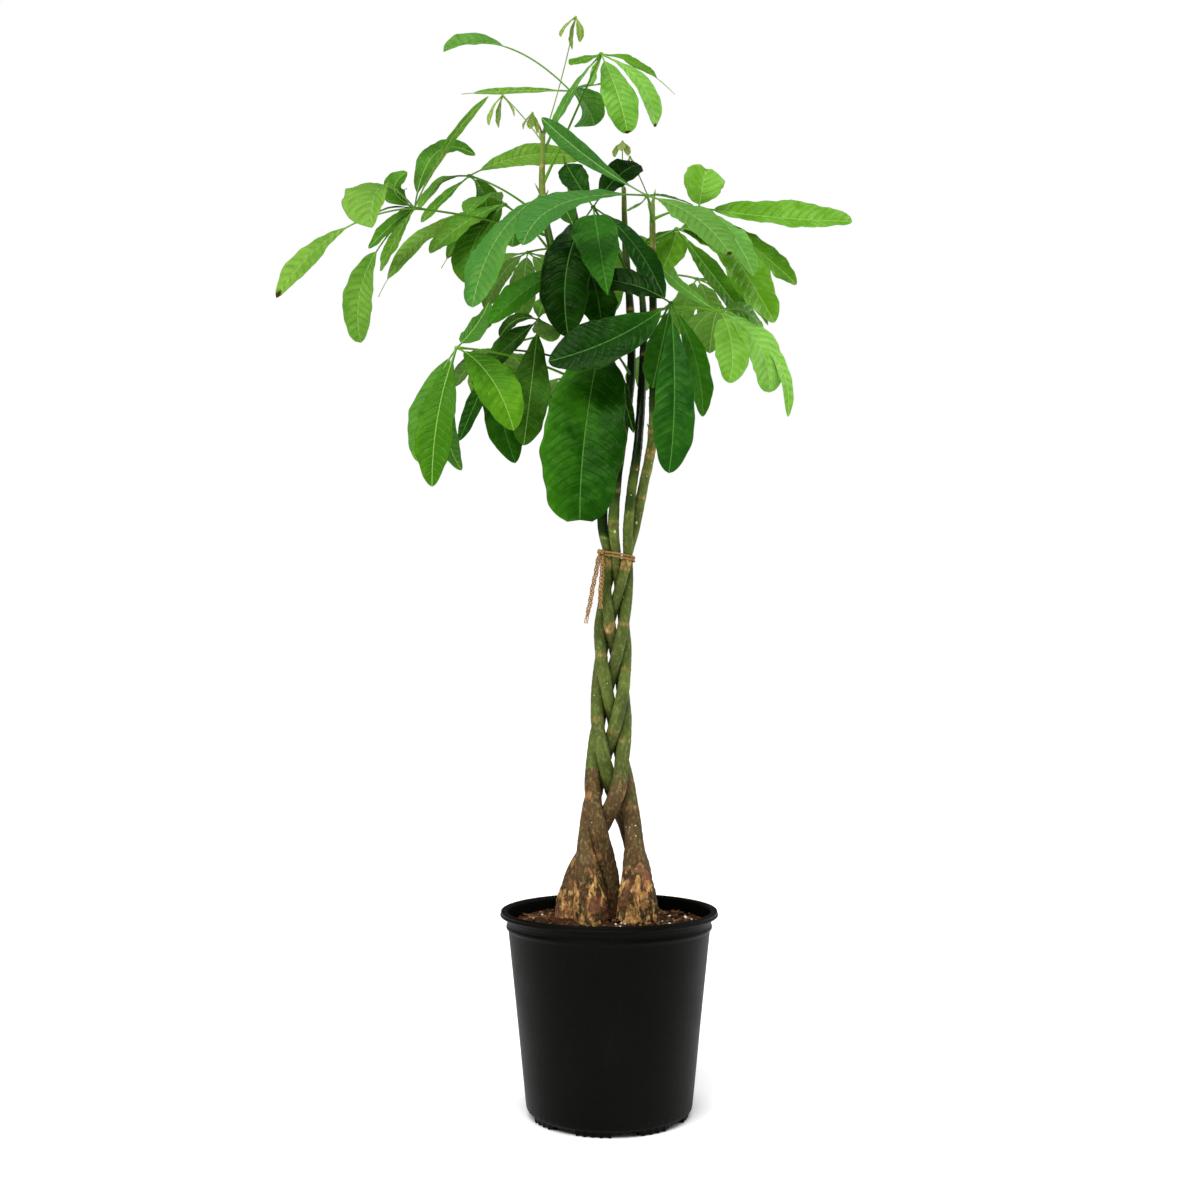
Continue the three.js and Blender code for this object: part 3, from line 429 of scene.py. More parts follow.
class Recipe:
    """Writes the nodes of one material, which ends in a single Principled shader."""

    def __init__(self, name: str, roughness: float, specular: float) -> None:
        """Starts a material.

        Args:
            name: its name.
            roughness: from 0 for a mirror to 1 for dull.
            specular: how strongly it mirrors.
        """
        self.material = bpy.data.materials.new(name)
        self.material.use_nodes = True
        self.tree = self.material.node_tree
        self.shader = self.tree.nodes["Principled BSDF"]
        self.shader.inputs["Roughness"].default_value = roughness
        self.shader.inputs["Specular IOR Level"].default_value = specular
        self.place = self.tree.nodes.new("ShaderNodeTexCoord").outputs["Object"]

    def give(self, socket: Socket, value: object) -> None:
        """Sets an input to another node's output, a colour code or a number."""
        if isinstance(value, Socket):
            self.tree.links.new(value, socket)
        else:
            socket.default_value = colour(value) if isinstance(value, str) else value

    def node(self, kind: str, inputs: dict, **settings: object) -> bpy.types.Node:
        """Adds a node.

        Args:
            kind: its type name.
            inputs: a value, or another node's output, for each input by name or number.
            settings: its own properties.

        Returns:
            The node.
        """
        made = self.tree.nodes.new(kind)
        for name, value in settings.items():
            setattr(made, name, value)
        for key, value in inputs.items():
            self.give(made.inputs[key], value)
        return made

    def channel(self, name: str) -> tuple[Socket, ...]:
        """The three numbers that a mesh carries at its points under a name."""
        read = self.node("ShaderNodeAttribute", {}, attribute_name=name)
        return tuple(self.node("ShaderNodeSeparateXYZ", {0: read.outputs["Vector"]}).outputs)

    def math(self, operation: str, a: object, b: object = 0.0, clamp: bool = False) -> Socket:
        """One sum on two numbers or outputs."""
        return self.node("ShaderNodeMath", {0: a, 1: b}, operation=operation, use_clamp=clamp).outputs[0]

    def times(self, a: object, b: object) -> Socket:
        """The product of two numbers or outputs."""
        return self.math("MULTIPLY", a, b)

    def plus(self, a: object, b: object, clamp: bool = False) -> Socket:
        """The sum of two numbers or outputs."""
        return self.math("ADD", a, b, clamp)

    def step(self, value: Socket, low: float, high: float) -> Socket:
        """A smooth rise from 0 at low to 1 at high, or a fall where low is the greater."""
        ends = {"Value": value, "From Min": min(low, high), "From Max": max(low, high),
                "To Min": float(low > high), "To Max": float(low < high)}
        return self.node("ShaderNodeMapRange", ends, interpolation_type="SMOOTHSTEP").outputs[0]

    def noise(self, scale: float, detail: float = 3.0, flat: float = 1.0, rough: float = 0.55,
              twist: float = 0.0) -> Socket:
        """Cloudy noise on Object coordinates.

        Args:
            scale: clouds in a metre.
            detail: how many finer layers lie on them.
            flat: what heights are multiplied by first, so less than 1 draws the clouds out upwards.
            rough: how strong the finer layers are.
            twist: how far the clouds are pulled about.

        Returns:
            A number about 0.5.
        """
        spread = self.node("ShaderNodeMapping", {"Vector": self.place, "Scale": (1, 1, flat)})
        inputs = {"Vector": spread.outputs[0], "Scale": scale, "Detail": detail, "Roughness": rough,
                  "Distortion": twist}
        return self.node("ShaderNodeTexNoise", inputs).outputs["Fac"]

    def ramp(self, value: Socket, *stops: tuple[float, str]) -> Socket:
        """A colour that changes with a number.

        Args:
            value: the number.
            stops: pairs of a number and the colour code there, in order.

        Returns:
            The colour.
        """
        made = self.node("ShaderNodeValToRGB", {0: value})
        band = made.color_ramp
        for element, (place, code) in zip(band.elements, (stops[0], stops[-1])):
            element.position, element.color = place, colour(code)
        for place, code in stops[1:-1]:
            band.elements.new(place).color = colour(code)
        return made.outputs[0]

    def blend(self, share: object, under: object, over: object, most: float = 1.0) -> Socket:
        """Two colours mixed.

        Args:
            share: how much of the upper one is seen, a number or an output.
            under: the lower colour.
            over: the upper colour.
            most: what the share is multiplied by.

        Returns:
            The mixed colour.
        """
        made = self.tree.nodes.new("ShaderNodeMix")
        made.data_type = "RGBA"
        sockets = {s.name: s for s in made.inputs if s.enabled and s.type == "RGBA"}
        factor = next(s for s in made.inputs if s.name == "Factor" and s.type == "VALUE")
        self.give(factor, share if most == 1.0 else self.times(share, most))
        self.give(sockets["A"], under)
        self.give(sockets["B"], over)
        return next(s for s in made.outputs if s.type == "RGBA")

    def finish(self, base: Socket, height: Socket, relief: float,
               roughness: Optional[Socket] = None) -> bpy.types.Material:
        """Joins a colour, a bump and a roughness to the shader.

        Args:
            base: the colour.
            height: the bump's height.
            relief: how many metres a height of 1 is.
            roughness: the roughness, where it isn't the same all over.

        Returns:
            The material.
        """
        bump = self.node("ShaderNodeBump", {"Height": height, "Distance": relief, "Strength": 1.0})
        self.give(self.shader.inputs["Base Color"], base)
        self.give(self.shader.inputs["Normal"], bump.outputs[0])
        if roughness is not None:
            self.give(self.shader.inputs["Roughness"], roughness)
        return self.material


@dataclass(frozen=True)
class LeafFinish:
    """A leaf's skin: glossy above, dull and paler below, with a pale midrib and faint side veins.

    The channel blade holds the veins' count, the share across and the distance from the
    midrib in mm. The channel look holds the tone, the underside and the coolness,
    which goes below 0 where the blade is dry and brown. The tone is partly the leaflet's
    own green and partly painted shade deep in the crown and painted light on lit outer
    leaflets. The coolness above 0 is a painted reflection, a bluish cast of the bright
    surround, and the creases along the side veins are darkened as painted shade.
    """

    name: str
    deep: str
    body: str
    light: str
    cool: str
    rib: str
    roughness: float = 0.34
    gloss: float = 0.15
    sheen: str = "93d272"
    pale: str = "6f9638"
    burnt: str = "33260f"
    relief: float = 0.0011

    def material(self) -> bpy.types.Material:
        """Mixes the skin, whose shine is tinted green.

        Returns:
            The material.
        """
        r = Recipe(self.name, self.roughness, self.gloss)
        r.shader.inputs["Specular Tint"].default_value = colour(self.sheen)
        count, across, side = r.channel("blade")
        tone, under, cool = r.channel("look")
        cloud, patch, speck = r.noise(24), r.noise(75), r.noise(480, 2)
        drift = r.plus(r.times(cloud, 0.9), r.times(patch, 0.6))
        # Painted light and shade in part: the tone makes leaflets deep in the crown dark and lit outer ones
        # bright, beside their own greens.
        toned = r.plus(tone, r.plus(drift, -0.75), clamp=True)
        base = r.ramp(toned, (0.0, self.deep), (0.5, self.body), (1.0, self.light))
        # Painted reflection: the coolness blends in a bluish cast of the bright surround.
        base = r.blend(cool, base, self.cool, 0.8)
        to_vein = r.math("PINGPONG", r.plus(count, r.times(patch, 0.5)), 0.5)
        seen = r.times(r.step(across, 0.96, 0.75), r.step(patch, 0.3, 0.6))
        # Painted shade: the blade is darkened in the creases along its side veins.
        shaded_hollow = r.times(r.step(to_vein, 0.3, 0.02), seen)
        base = r.blend(shaded_hollow, base, self.deep, 0.34)
        base = r.blend(r.times(r.step(to_vein, 0.06, 0.01), seen), base, self.rib, 0.2)
        base = r.blend(speck, base, self.light, 0.1)
        base = r.blend(under, base, r.blend(0.4, base, self.pale))
        base = r.blend(r.step(side, 0.85, 0.4), base, self.rib, 0.6)
        base = r.blend(r.step(cool, -0.1, -0.7), base, self.burnt)
        cells = r.node("ShaderNodeTexVoronoi", {"Vector": r.place, "Scale": 260.0},
                       feature="DISTANCE_TO_EDGE")
        net = r.step(cells.outputs["Distance"], 0.1, 0.02)
        high = r.math("SUBTRACT", r.times(r.math("SUBTRACT", 1.0, shaded_hollow), 0.55), r.times(net, 0.08))
        rough = r.plus(r.plus(r.times(under, 0.25), r.times(cloud, 0.16)), self.roughness - 0.08)
        return r.finish(base, r.plus(high, r.times(patch, 0.9)), self.relief, rough)


@dataclass(frozen=True)
class BarkFinish:
    """Bark that ages from green to grey-brown to dark cork with tan, peeled patches.

    The channel bark holds the age, the strength of leaf scars, and pale marks. Age goes
    from 0 for fresh green to 1 for cork, and below 0 for the almost black upper stems,
    which are partly their own dark bark and partly painted shade under the leaves.
    """

    name: str = "money_tree_bark"
    relief: float = 0.0012

    def material(self) -> bpy.types.Material:
        """Mixes the bark.

        Returns:
            The material.
        """
        r = Recipe(self.name, 0.62, 0.1)
        age, scar, pale = r.channel("bark")
        cloud, fine = r.noise(34, 4, 0.6), r.noise(320, 4, 0.5)
        drift = r.times(r.plus(cloud, -0.5), 0.3)
        shifted = r.plus(r.times(r.plus(age, drift), 0.5), 0.5, clamp=True)
        # The near-black greens below age 0 are partly the upper stems' dark bark and partly painted shade
        # under the leaves.
        base = r.ramp(shifted, (0.0, "0a1803"), (0.25, "172b06"), (0.4, "334818"), (0.5, "65792d"),
                      (0.58, "5a6b29"), (0.66, "465321"), (0.71, "4d4723"), (0.76, "574228"),
                      (0.85, "4c361e"), (0.94, "442e1a"), (1.0, "3c2816"))
        dust = r.times(r.step(fine, 0.45, 0.75), r.step(age, -0.3, 0.2))
        base = r.blend(dust, base, "a0a068", 0.34)
        base = r.blend(r.step(cloud, 0.5, 0.3), base, "1e1c0c", 0.45)
        cork = r.times(r.step(r.noise(80, 5, 0.5, 0.62, 0.9), 0.5, 0.57), r.step(age, 0.82, 0.95))
        base = r.blend(cork, base, r.ramp(fine, (0.3, "7a4f28"), (0.5, "a87c42"), (0.7, "dcbc80")), 0.85)
        red = r.times(r.step(r.noise(26), 0.5, 0.62), r.step(age, 0.75, 0.95))
        base = r.blend(red, base, "a2654a", 0.34)
        spot = r.times(r.step(r.noise(60, 3, 0.5), 0.64, 0.7), r.step(age, 0.34, 0.46))
        base = r.blend(spot, base, "9c7444", 0.6)
        ringed = r.math("MULTIPLY", scar, r.step(fine, 0.2, 0.55), clamp=True)
        base = r.blend(ringed, base, r.ramp(fine, (0.35, "8a5a30"), (0.6, "c49a62")))
        base = r.blend(pale, base, "e2d8a4")
        grain = r.plus(r.times(fine, 0.35), r.times(cork, 0.6))
        return r.finish(base, grain, self.relief, r.plus(r.times(age, 0.25), 0.5, clamp=True))


@dataclass(frozen=True)
class PotFinish:
    """Near-black moulded plastic, faintly pebbled, dusty and scuffed."""

    name: str = "money_tree_pot_plastic"
    relief: float = 0.0006

    def material(self) -> bpy.types.Material:
        """Mixes the plastic.

        Returns:
            The material.
        """
        r = Recipe(self.name, 0.45, 0.05)
        pebbled, cloud, streak = r.noise(620), r.noise(14, 4), r.noise(30, 4, 0.12)
        base = r.ramp(cloud, (0.3, "020201"), (0.7, "060603"))
        base = r.blend(r.step(pebbled, 0.5, 0.7), base, "0d0d0c", 0.35)
        base = r.blend(r.step(streak, 0.6, 0.85), base, "131312", 0.25)
        rough = r.plus(r.times(cloud, 0.25), 0.34)
        return r.finish(base, r.plus(pebbled, r.times(streak, 0.3)), self.relief, rough)


@dataclass(frozen=True)
class SoilFinish:
    """Dark potting mix, also for its loose bits, whose channel bits holds tone and paleness."""

    name: str = "money_tree_soil"
    relief: float = 0.0009

    def material(self) -> bpy.types.Material:
        """Mixes the soil.

        Returns:
            The material.
        """
        r = Recipe(self.name, 0.95, 0.12)
        tone, pale, _ = r.channel("bits")
        lump, fine = r.noise(180, 5), r.noise(900)
        base = r.ramp(r.plus(r.times(lump, 0.5), r.times(fine, 0.4)),
                      (0.25, "1b100a"), (0.5, "3a2416"), (0.75, "5f4129"))
        chip = r.ramp(r.plus(tone, r.times(r.plus(fine, -0.5), 0.5)),
                      (0.0, "23140b"), (0.35, "4d2f1c"), (0.65, "7c5736"), (1.0, "b89b70"))
        base = r.blend(r.step(tone, 0.01, 0.05), base, chip)
        base = r.blend(pale, base, r.ramp(fine, (0.3, "cfcac0"), (0.6, "f4f2ec")))
        return r.finish(base, r.plus(lump, fine), self.relief)


@dataclass(frozen=True)
class TwineFinish:
    """Golden jute. The channel yarn holds the way along in mm, the way round and the wear."""

    name: str = "money_tree_twine"
    relief: float = 0.0006

    def material(self) -> bpy.types.Material:
        """Mixes the jute.

        Returns:
            The material.
        """
        r = Recipe(self.name, 0.8, 0.15)
        along, around, wear = r.channel("yarn")
        lay = r.plus(r.times(along, 0.62), around)
        stripe = r.math("PINGPONG", r.times(lay, 2.0), 0.5)
        tint = r.plus(r.times(stripe, 0.7), r.times(r.noise(240), 0.55))
        base = r.ramp(tint, (0.15, "543619"), (0.4, "9c7440"), (0.65, "c9a066"), (0.9, "e8cd98"))
        base = r.blend(wear, base, "ecd6aa", 0.2)
        return r.finish(base, r.plus(stripe, r.times(r.noise(1500), 0.4)), self.relief)


@dataclass(frozen=True)
class FloorFinish:
    """The plain pale floor: a white table that is lit a little from below, but not under the pot."""

    name: str = "studio_floor"
    glow: float = 0.28
    pot_edge: float = 0.12

    def material(self) -> bpy.types.Material:
        """Mixes the floor's paint, with a breath of unevenness.

        Returns:
            The material.
        """
        r = Recipe(self.name, 0.9, 0.0)
        r.shader.inputs["Emission Color"].default_value = (1, 1, 1, 1)
        away = r.node("ShaderNodeVectorMath", {0: r.place}, operation="LENGTH").outputs["Value"]
        lit = r.times(r.step(away, self.pot_edge - 0.03, self.pot_edge + 0.04), self.glow)
        r.give(r.shader.inputs["Emission Strength"], lit)
        return r.finish(r.ramp(r.noise(2, 2), (0.3, "f4f4f4"), (0.7, "f7f7f7")), r.noise(300, 2), 0.00002)


FINISHES = {
    Slot.POT: PotFinish(),
    Slot.SOIL: SoilFinish(),
    Slot.BARK: BarkFinish(),
    Slot.TWINE: TwineFinish(),
    # The dark, mid and bright leaf finishes are partly the leaves' own greens and partly painted shade deep
    # in the crown and painted light on lit outer leaves.
    Slot.LEAF_DARK: LeafFinish("money_tree_leaf_dark", "021600", "0f3802", "30690d", "1a4f1d", "5a8c3c"),
    Slot.LEAF_MID: LeafFinish("money_tree_leaf_mid", "183c04", "3a6e12", "6c9632", "387436", "88ac60"),
    Slot.LEAF_BRIGHT: LeafFinish("money_tree_leaf_bright", "2c5e00", "52880f", "7db448", "5f965a", "98c060"),
    Slot.LEAF_YOUNG: LeafFinish("money_tree_leaf_young", "4f7020", "7c9a3c", "b0c070", "74a060", "a4b868"),
}


@cache
def finish_of(slot: Slot) -> bpy.types.Material:
    """The one material that stands for a slot."""
    return FINISHES[slot].material()


# Studio


@dataclass
class Camera:
    """The photograph's camera: in front of the plant, a little above its pot, looking slightly up."""

    place: Point = (-11.4, -1700.0, 514.0)
    pitch: float = 4.0
    lens: float = 40.44
    sensor: float = 36.0

    def build(self) -> None:
        """Makes the camera and gives it to the scene."""
        data = bpy.data.cameras.new("photo_camera")
        data.lens, data.sensor_width = self.lens, self.sensor
        data.clip_start, data.clip_end = 0.05, 60.0
        camera = bpy.data.objects.new("photo_camera", data)
        camera.location = [value * MM for value in self.place]
        camera.rotation_euler = (math.radians(90 + self.pitch), 0, 0)
        bpy.context.scene.collection.objects.link(camera)
        bpy.context.scene.camera = camera


@dataclass
class Softbox:
    """A large soft lamp that looks at the plant."""

    name: str
    place: Point
    target: Point
    width: float
    power: float

    def build(self) -> None:
        """Hangs the lamp, unseen by the camera."""
        data = bpy.data.lights.new(self.name, "AREA")
        data.shape, data.size, data.energy = "SQUARE", self.width, self.power
        lamp = bpy.data.objects.new(self.name, data)
        lamp.location = self.place
        way = unit(np.subtract(self.place, self.target))
        level = math.hypot(way[0], way[1])
        lamp.rotation_euler = (math.atan2(level, way[2]), 0, math.atan2(way[0], -way[1]))
        lamp.visible_camera = False
        bpy.context.scene.collection.objects.link(lamp)


@dataclass
class Sun:
    """One broad, even light from far off, which falls alike on the whole floor."""

    name: str
    azimuth: float
    elevation: float
    strength: float
    spread: float

    def build(self) -> None:
        """Hangs the light, turned from the viewer's side by its azimuth."""
        data = bpy.data.lights.new(self.name, "SUN")
        data.energy, data.angle = self.strength, math.radians(self.spread)
        lamp = bpy.data.objects.new(self.name, data)
        lamp.rotation_euler = (math.radians(90 - self.elevation), 0, math.radians(self.azimuth))
        bpy.context.scene.collection.objects.link(lamp)


@dataclass
class Studio:
    """A wide pale floor, a white surround and soft lights."""

    rings: Sequence[float] = (300.0, 1500.0, 6000.0, 20000.0)
    columns: int = 64
    surround: float = 1.0
    ambience: float = 0.34
    mirrored: float = 0.19
    sun: Sun = field(default_factory=lambda: Sun("broad_light", -10.0, 58.0, 2.7, 38.0))
    lamps: list[Softbox] = field(default_factory=lambda: [
        Softbox("key_lamp", (-1.6, -1.9, 2.3), (0.0, 0.0, 1.0), 0.7, 34.0),
        Softbox("rim_lamp", (2.2, 0.6, 1.8), (0.0, 0.0, 0.8), 1.2, 28.0),
    ])

    def lay_floor(self) -> None:
        """Lays the floor as rings about the plant, closed in the middle."""
        rings = [polar(radius, turn_angles(self.columns)) for radius in self.rings]
        points = np.vstack([*rings, np.zeros((1, 3))])
        quads = grid_quads(len(self.rings), self.columns)
        tris = pole_tris(0, len(points) - 1, self.columns, False)
        mesh = bpy.data.meshes.new("studio_floor")
        mesh.from_pydata((points * MM).tolist(), [], [*quads[:, ::-1].tolist(), *tris[:, ::-1].tolist()])
        mesh.materials.append(FloorFinish().material())
        floor = bpy.data.objects.new("studio_floor", mesh)
        bpy.context.scene.collection.objects.link(floor)

    def build(self) -> None:
        """Lights the floor and hangs the lamps.

        The surround is white to the camera, softer as a light and dim where things mirror it.
        """
        self.lay_floor()
        world = bpy.data.worlds.new("studio_world")
        world.use_nodes = True
        tree = world.node_tree
        background = tree.nodes["Background"]
        background.inputs["Color"].default_value = (1, 1, 1, 1)
        rays = tree.nodes.new("ShaderNodeLightPath").outputs
        light, strength = tree.nodes.new("ShaderNodeMapRange"), tree.nodes.new("ShaderNodeMapRange")
        light.inputs["To Min"].default_value = self.ambience
        light.inputs["To Max"].default_value = self.mirrored
        strength.inputs["To Max"].default_value = self.surround
        tree.links.new(rays["Is Glossy Ray"], light.inputs["Value"])
        tree.links.new(rays["Is Camera Ray"], strength.inputs["Value"])
        tree.links.new(light.outputs[0], strength.inputs["To Min"])
        tree.links.new(strength.outputs[0], background.inputs["Strength"])
        bpy.context.scene.world = world
        for lamp in (self.sun, *self.lamps):
            lamp.build()
        bpy.context.scene.view_settings.view_transform = "Standard"


# Stems

# The plait by height: half its width, a strand's radius, and how far its middle leans to the right.
PLAIT = np.array([
    [230, 44, 14, 0], [300, 37, 12, 0], [350, 29.5, 10.6, 0], [390, 24, 10.2, 0], [432, 19.8, 8.9, 0],
    [520, 17.7, 7.7, 3], [600, 16.5, 7.1, 5], [650, 15, 6.4, 9], [690, 13.2, 5.9, 13],
])


@dataclass
class Stem:
    """One of the five plaited stems, from its foot in the soil to its growing tip.

    The way above the tie is given as points with a radius each. Ages are pairs of height and
    age, where below 0 the upper stem is almost black, partly its own dark bark and partly
    painted shade under the leaves; scars pairs of height and strength, and marks are pale
    spots as height, the angle that they look in and their length.
    """

    name: str
    foot: Point
    foot_radius: float
    phase: float
    above: list[Point]
    ages: list[Point]
    scars: list[Point]
    marks: list[Point] = field(default_factory=list)
    seed: int = 1
    tie_height: float = 690.0
    crossing: float = 647.0
    turn_per_mm: float = 0.837
    ease_height: float = 432.0
    ease: float = 0.0021
    buried: float = 170.0
    sides: int = 30
    step: float = 2.2
    free_marks: int = 26

    def plait_point(self, z: np.ndarray) -> np.ndarray:
        """The strand's place in the plait, a figure of eight that turns with height.

        With angle a = turn + phase it is x = lean + half sin a and
        y = half (0.7 sin 2a + 0.3 sin 4a), where turn falls by 0.837 degrees a mm above the
        ease height and slows towards the feet below it.

        Args:
            z: heights in mm.

        Returns:
            One point a height.
        """
        below = np.maximum(self.ease_height - z, 0)
        turn = np.where(z > self.ease_height, 90 + self.turn_per_mm * (self.crossing - z),
                        270 + self.turn_per_mm * below - self.ease * below ** 2)
        angle = np.radians(turn + self.phase)
        half = np.interp(z, PLAIT[:, 0], PLAIT[:, 1])
        x = np.interp(z, PLAIT[:, 0], PLAIT[:, 3]) + half * np.sin(angle)
        return triples(x, half * (0.7 * np.sin(2 * angle) + 0.3 * np.sin(4 * angle)), z)

    def line(self) -> tuple[np.ndarray, np.ndarray]:
        """The stem's centre line and radii: foot, plait, and the free way above the tie.

        Returns:
            The points in mm and one radius a point.
        """
        z = np.append(np.arange(self.buried, self.tie_height, self.step), self.tie_height)
        share = smooth_step(220, 400, z)[:, None]
        low = np.array([*self.foot, 0.0]) * (1 - share) + self.plait_point(np.maximum(z, PLAIT[0, 0])) * share
        low[:, 2] = z
        below_soil = np.interp(z, [self.buried, 218, 237.7], [0.66, 0.852, 1])
        swell = 1 - smooth_step(230, 345, z)
        inner = np.interp(z, PLAIT[:, 0], PLAIT[:, 2])
        low_radii = (inner + (self.foot_radius - inner) * swell) * below_soil
        knots = np.vstack([[*low[-1], low_radii[-1]], self.above])
        spans = 40
        high = smooth_curve(knots[:, :3], spans)
        high_radii = np.interp(np.arange(len(high)) / spans, np.arange(len(knots)), knots[:, 3])
        points = np.vstack([low, high[1:]])
        radii = np.concatenate([low_radii, high_radii[1:]])
        way = ways(points)
        even = np.linspace(0, way[-1], round(way[-1] / self.step))
        return points_at(even, way, points), np.interp(even, way, radii)

    def point_at(self, z: float) -> np.ndarray:
        """The centre line's point at a height."""
        points, _ = self.line()
        return points_at(z, points[:, 2], points)

    def build(self) -> None:
        """Makes the stem with lobes at its foot, lumps, leaf scars and pale marks.

        The radius is r (1 + lobes + lumps) + a low ring at each scar, and the tip is rounded
        by a quarter circle of radii.
        """
        path, radii = self.line()
        angles = np.radians([25, 50, 70, 85])
        path = np.vstack([path, path[-1] + unit(path[-1] - path[-2]) * radii[-1] * np.sin(angles)[:, None]])
        radii = np.concatenate([radii, radii[-1] * np.cos(angles)])
        z = path[:, 2]
        around = turn_angles(self.sides)
        grid = tube(path, radii, self.sides, (1, 0, 0))
        swell = (1 - smooth_step(228, 330, z))[:, None]
        lobes = 0.07 * np.sin(3 * around + self.seed) + 0.05 * np.sin(5 * around + 2.3 * self.seed)
        lumps = 0.035 * ripple(grid, 26, self.seed) + 0.018 * ripple(grid, 8, self.seed + 40)
        cork = 0.03 * smooth_step(300, 260, z)[:, None] * ripple(grid, 7, self.seed + 80)
        scar = np.max([strength * np.exp(-(((z - height) / 2.4) ** 2)) for height, strength in self.scars], 0)
        reach = radii[:, None] * (1 + swell * lobes + lumps + cork) + 0.55 * scar[:, None]
        grid = tube(path, reach, self.sides, (1, 0, 0))
        border = z[:, None] + 11 * ripple(grid, 30, self.seed + 6)
        age = np.interp(border, *zip(*self.ages)) + 0.06 * ripple(grid, 45, self.seed + 7)
        ring = scar[:, None] * (0.75 + 0.35 * ripple(grid, 9, self.seed + 3))
        shape = Shape("bark")
        shape.add_closed(grid, bark=triples(age, np.clip(ring, 0, 1), 0.0))
        self.add_marks(shape, path, radii)
        shape.make(f"{self.name}_bark", Slot.BARK, self.name)

    def add_marks(self, shape: Shape, path: np.ndarray, radii: np.ndarray) -> None:
        """Adds the pale marks: small low ovals that lie on the bark, longest up the stem.

        Args:
            shape: the stem's own shape.
            path: the centre line.
            radii: its radii.
        """
        rng = np.random.default_rng(self.seed + 500)
        free = zip(rng.uniform(300, 760, self.free_marks), rng.uniform(0, 360, self.free_marks))
        z, way, length = np.array([*self.marks, *((height, angle, 1.0) for height, angle in free)]).T
        out = polar(1, np.radians(way))
        up = np.broadcast_to([0.0, 0.0, 1.0], out.shape)
        places = points_at(z, path[:, 2], path) + out * (np.interp(z, path[:, 2], radii) * 0.995)[:, None]
        sizes = triples(0.5, 0.55 + 0.25 * length, 0.6 * length)
        shape.scatter(pebble(), places, np.stack([out, np.cross(up, out), up], -1), sizes,
                      bark=np.tile([0.4, 0, 0.75], (len(z), 1)))


# Ages below 0 paint the upper stems almost black: partly their own dark bark, partly painted shade under the
# leaves.
STEMS = {stem.name: stem for stem in [
    Stem("stem_back_left", (-50, 6), 18, -144,
         [(-8, -3, 725, 6.6), (-7, -1, 775, 6.2), (-8, 2, 830, 6), (-26, -2, 915, 5.6), (-56, -6, 1020, 5.2),
          (-84, -10, 1140, 4.6), (-85, -10, 1232, 3)],
         ages=[(240, 1), (320, 0.75), (400, 0.5), (430, 0.3), (700, 0.28), (716, -0.55), (760, -0.8),
               (1000, -0.8), (1080, -0.3), (1120, 0.0), (1232, 0.05)],
         scars=[(455, 0.5), (540, 0.5), (596, 0.8), (599, 1), (602, 0.8), (674, 0.6), (678, 0.8), (682, 1),
                (1060, 0.6), (1118, 0.8), (1150, 0.5), (1190, 0.4)], seed=11),
    Stem("stem_front_right", (36, -20), 26, 144,
         [(5, 15, 725, 6.4), (8, 22, 775, 6), (10, 30, 840, 5.8), (8, 36, 915, 5.4), (-14, 38, 1030, 4.8),
          (-42, 30, 1130, 4), (-56, 22, 1205, 3)],
         ages=[(240, 1), (303, 0.95), (312, 0.6), (408, 0.52), (420, 0.3), (720, 0.26), (728, 0.4),
               (736, -0.3), (780, -0.9), (1000, -0.8), (1100, -0.3), (1205, 0.1)],
         scars=[(372, 0.5), (470, 0.4), (560, 0.6), (640, 0.4), (742, 0.8), (990, 0.5)],
         marks=[(338, -80, 4.4), (350, -72, 5.0), (318, -50, 2.4)], seed=23),
    Stem("stem_front_left", (-20, -24), 22, -72,
         [(6, -11, 725, 6.6), (9, -8, 775, 6.2), (16, -4, 830, 6), (28, 2, 915, 5.6), (28, 14, 1000, 5.2),
          (22, 30, 1100, 4.4), (20, 38, 1180, 3)],
         ages=[(240, 1), (290, 0.95), (300, 0.6), (395, 0.5), (412, 0.28), (722, 0.26), (731, -0.12),
               (765, -0.22), (785, -0.5), (800, -0.9), (960, -0.9), (1080, -0.3), (1180, 0.1)],
         scars=[(368, 0.4), (470, 0.4), (545, 0.4), (676, 0.2), (728, 0.5), (770, 0.7), (1010, 0.5)],
         marks=[(718, -82, 3.6)], seed=37),
    Stem("stem_back_right", (40, 26), 20, 72,
         [(24, -8, 725, 6.6), (29, -5, 775, 6.2), (37, 4, 830, 5.8), (43, 22, 915, 5.4), (46, 48, 1010, 4.6),
          (38, 70, 1110, 3.2)],
         ages=[(240, 1), (300, 0.8), (400, 0.55), (425, 0.3), (736, 0.24), (748, -0.1), (790, -0.22),
               (812, -0.5), (840, -0.9), (960, -0.9), (1060, -0.3), (1110, 0.1)],
         scars=[(480, 0.5), (590, 0.4), (671, 0.8), (674, 1), (677, 1), (680, 1), (800, 0.6), (955, 0.4)],
         marks=[(765, -90, 1.6), (798, -60, 1.8)], seed=51),
    Stem("stem_middle", (2, 10), 15, 0,
         [(33, 5, 725, 6.6), (43, 0, 775, 6.4), (54, -8, 830, 6), (57, -12, 915, 5.6), (56, -18, 1020, 5),
          (55, -28, 1135, 3.4)],
         ages=[(240, 0.9), (330, 0.7), (415, 0.5), (432, 0.3), (690, 0.26), (800, 0.22), (832, 0.3),
               (860, 0.1), (895, -0.5), (930, -0.9), (1040, -0.5), (1080, 0.0), (1135, 0.05)],
         scars=[(500, 0.5), (600, 0.5), (764, 0.6), (796, 0.5), (815, 0.8), (822, 1), (845, 1),
                (1000, 0.5), (1040, 0.6), (1080, 0.7)],
         marks=[(731, -85, 3.4), (762, -60, 2.0), (790, -75, 2.2), (806, -50, 1.6)], seed=67),
]}


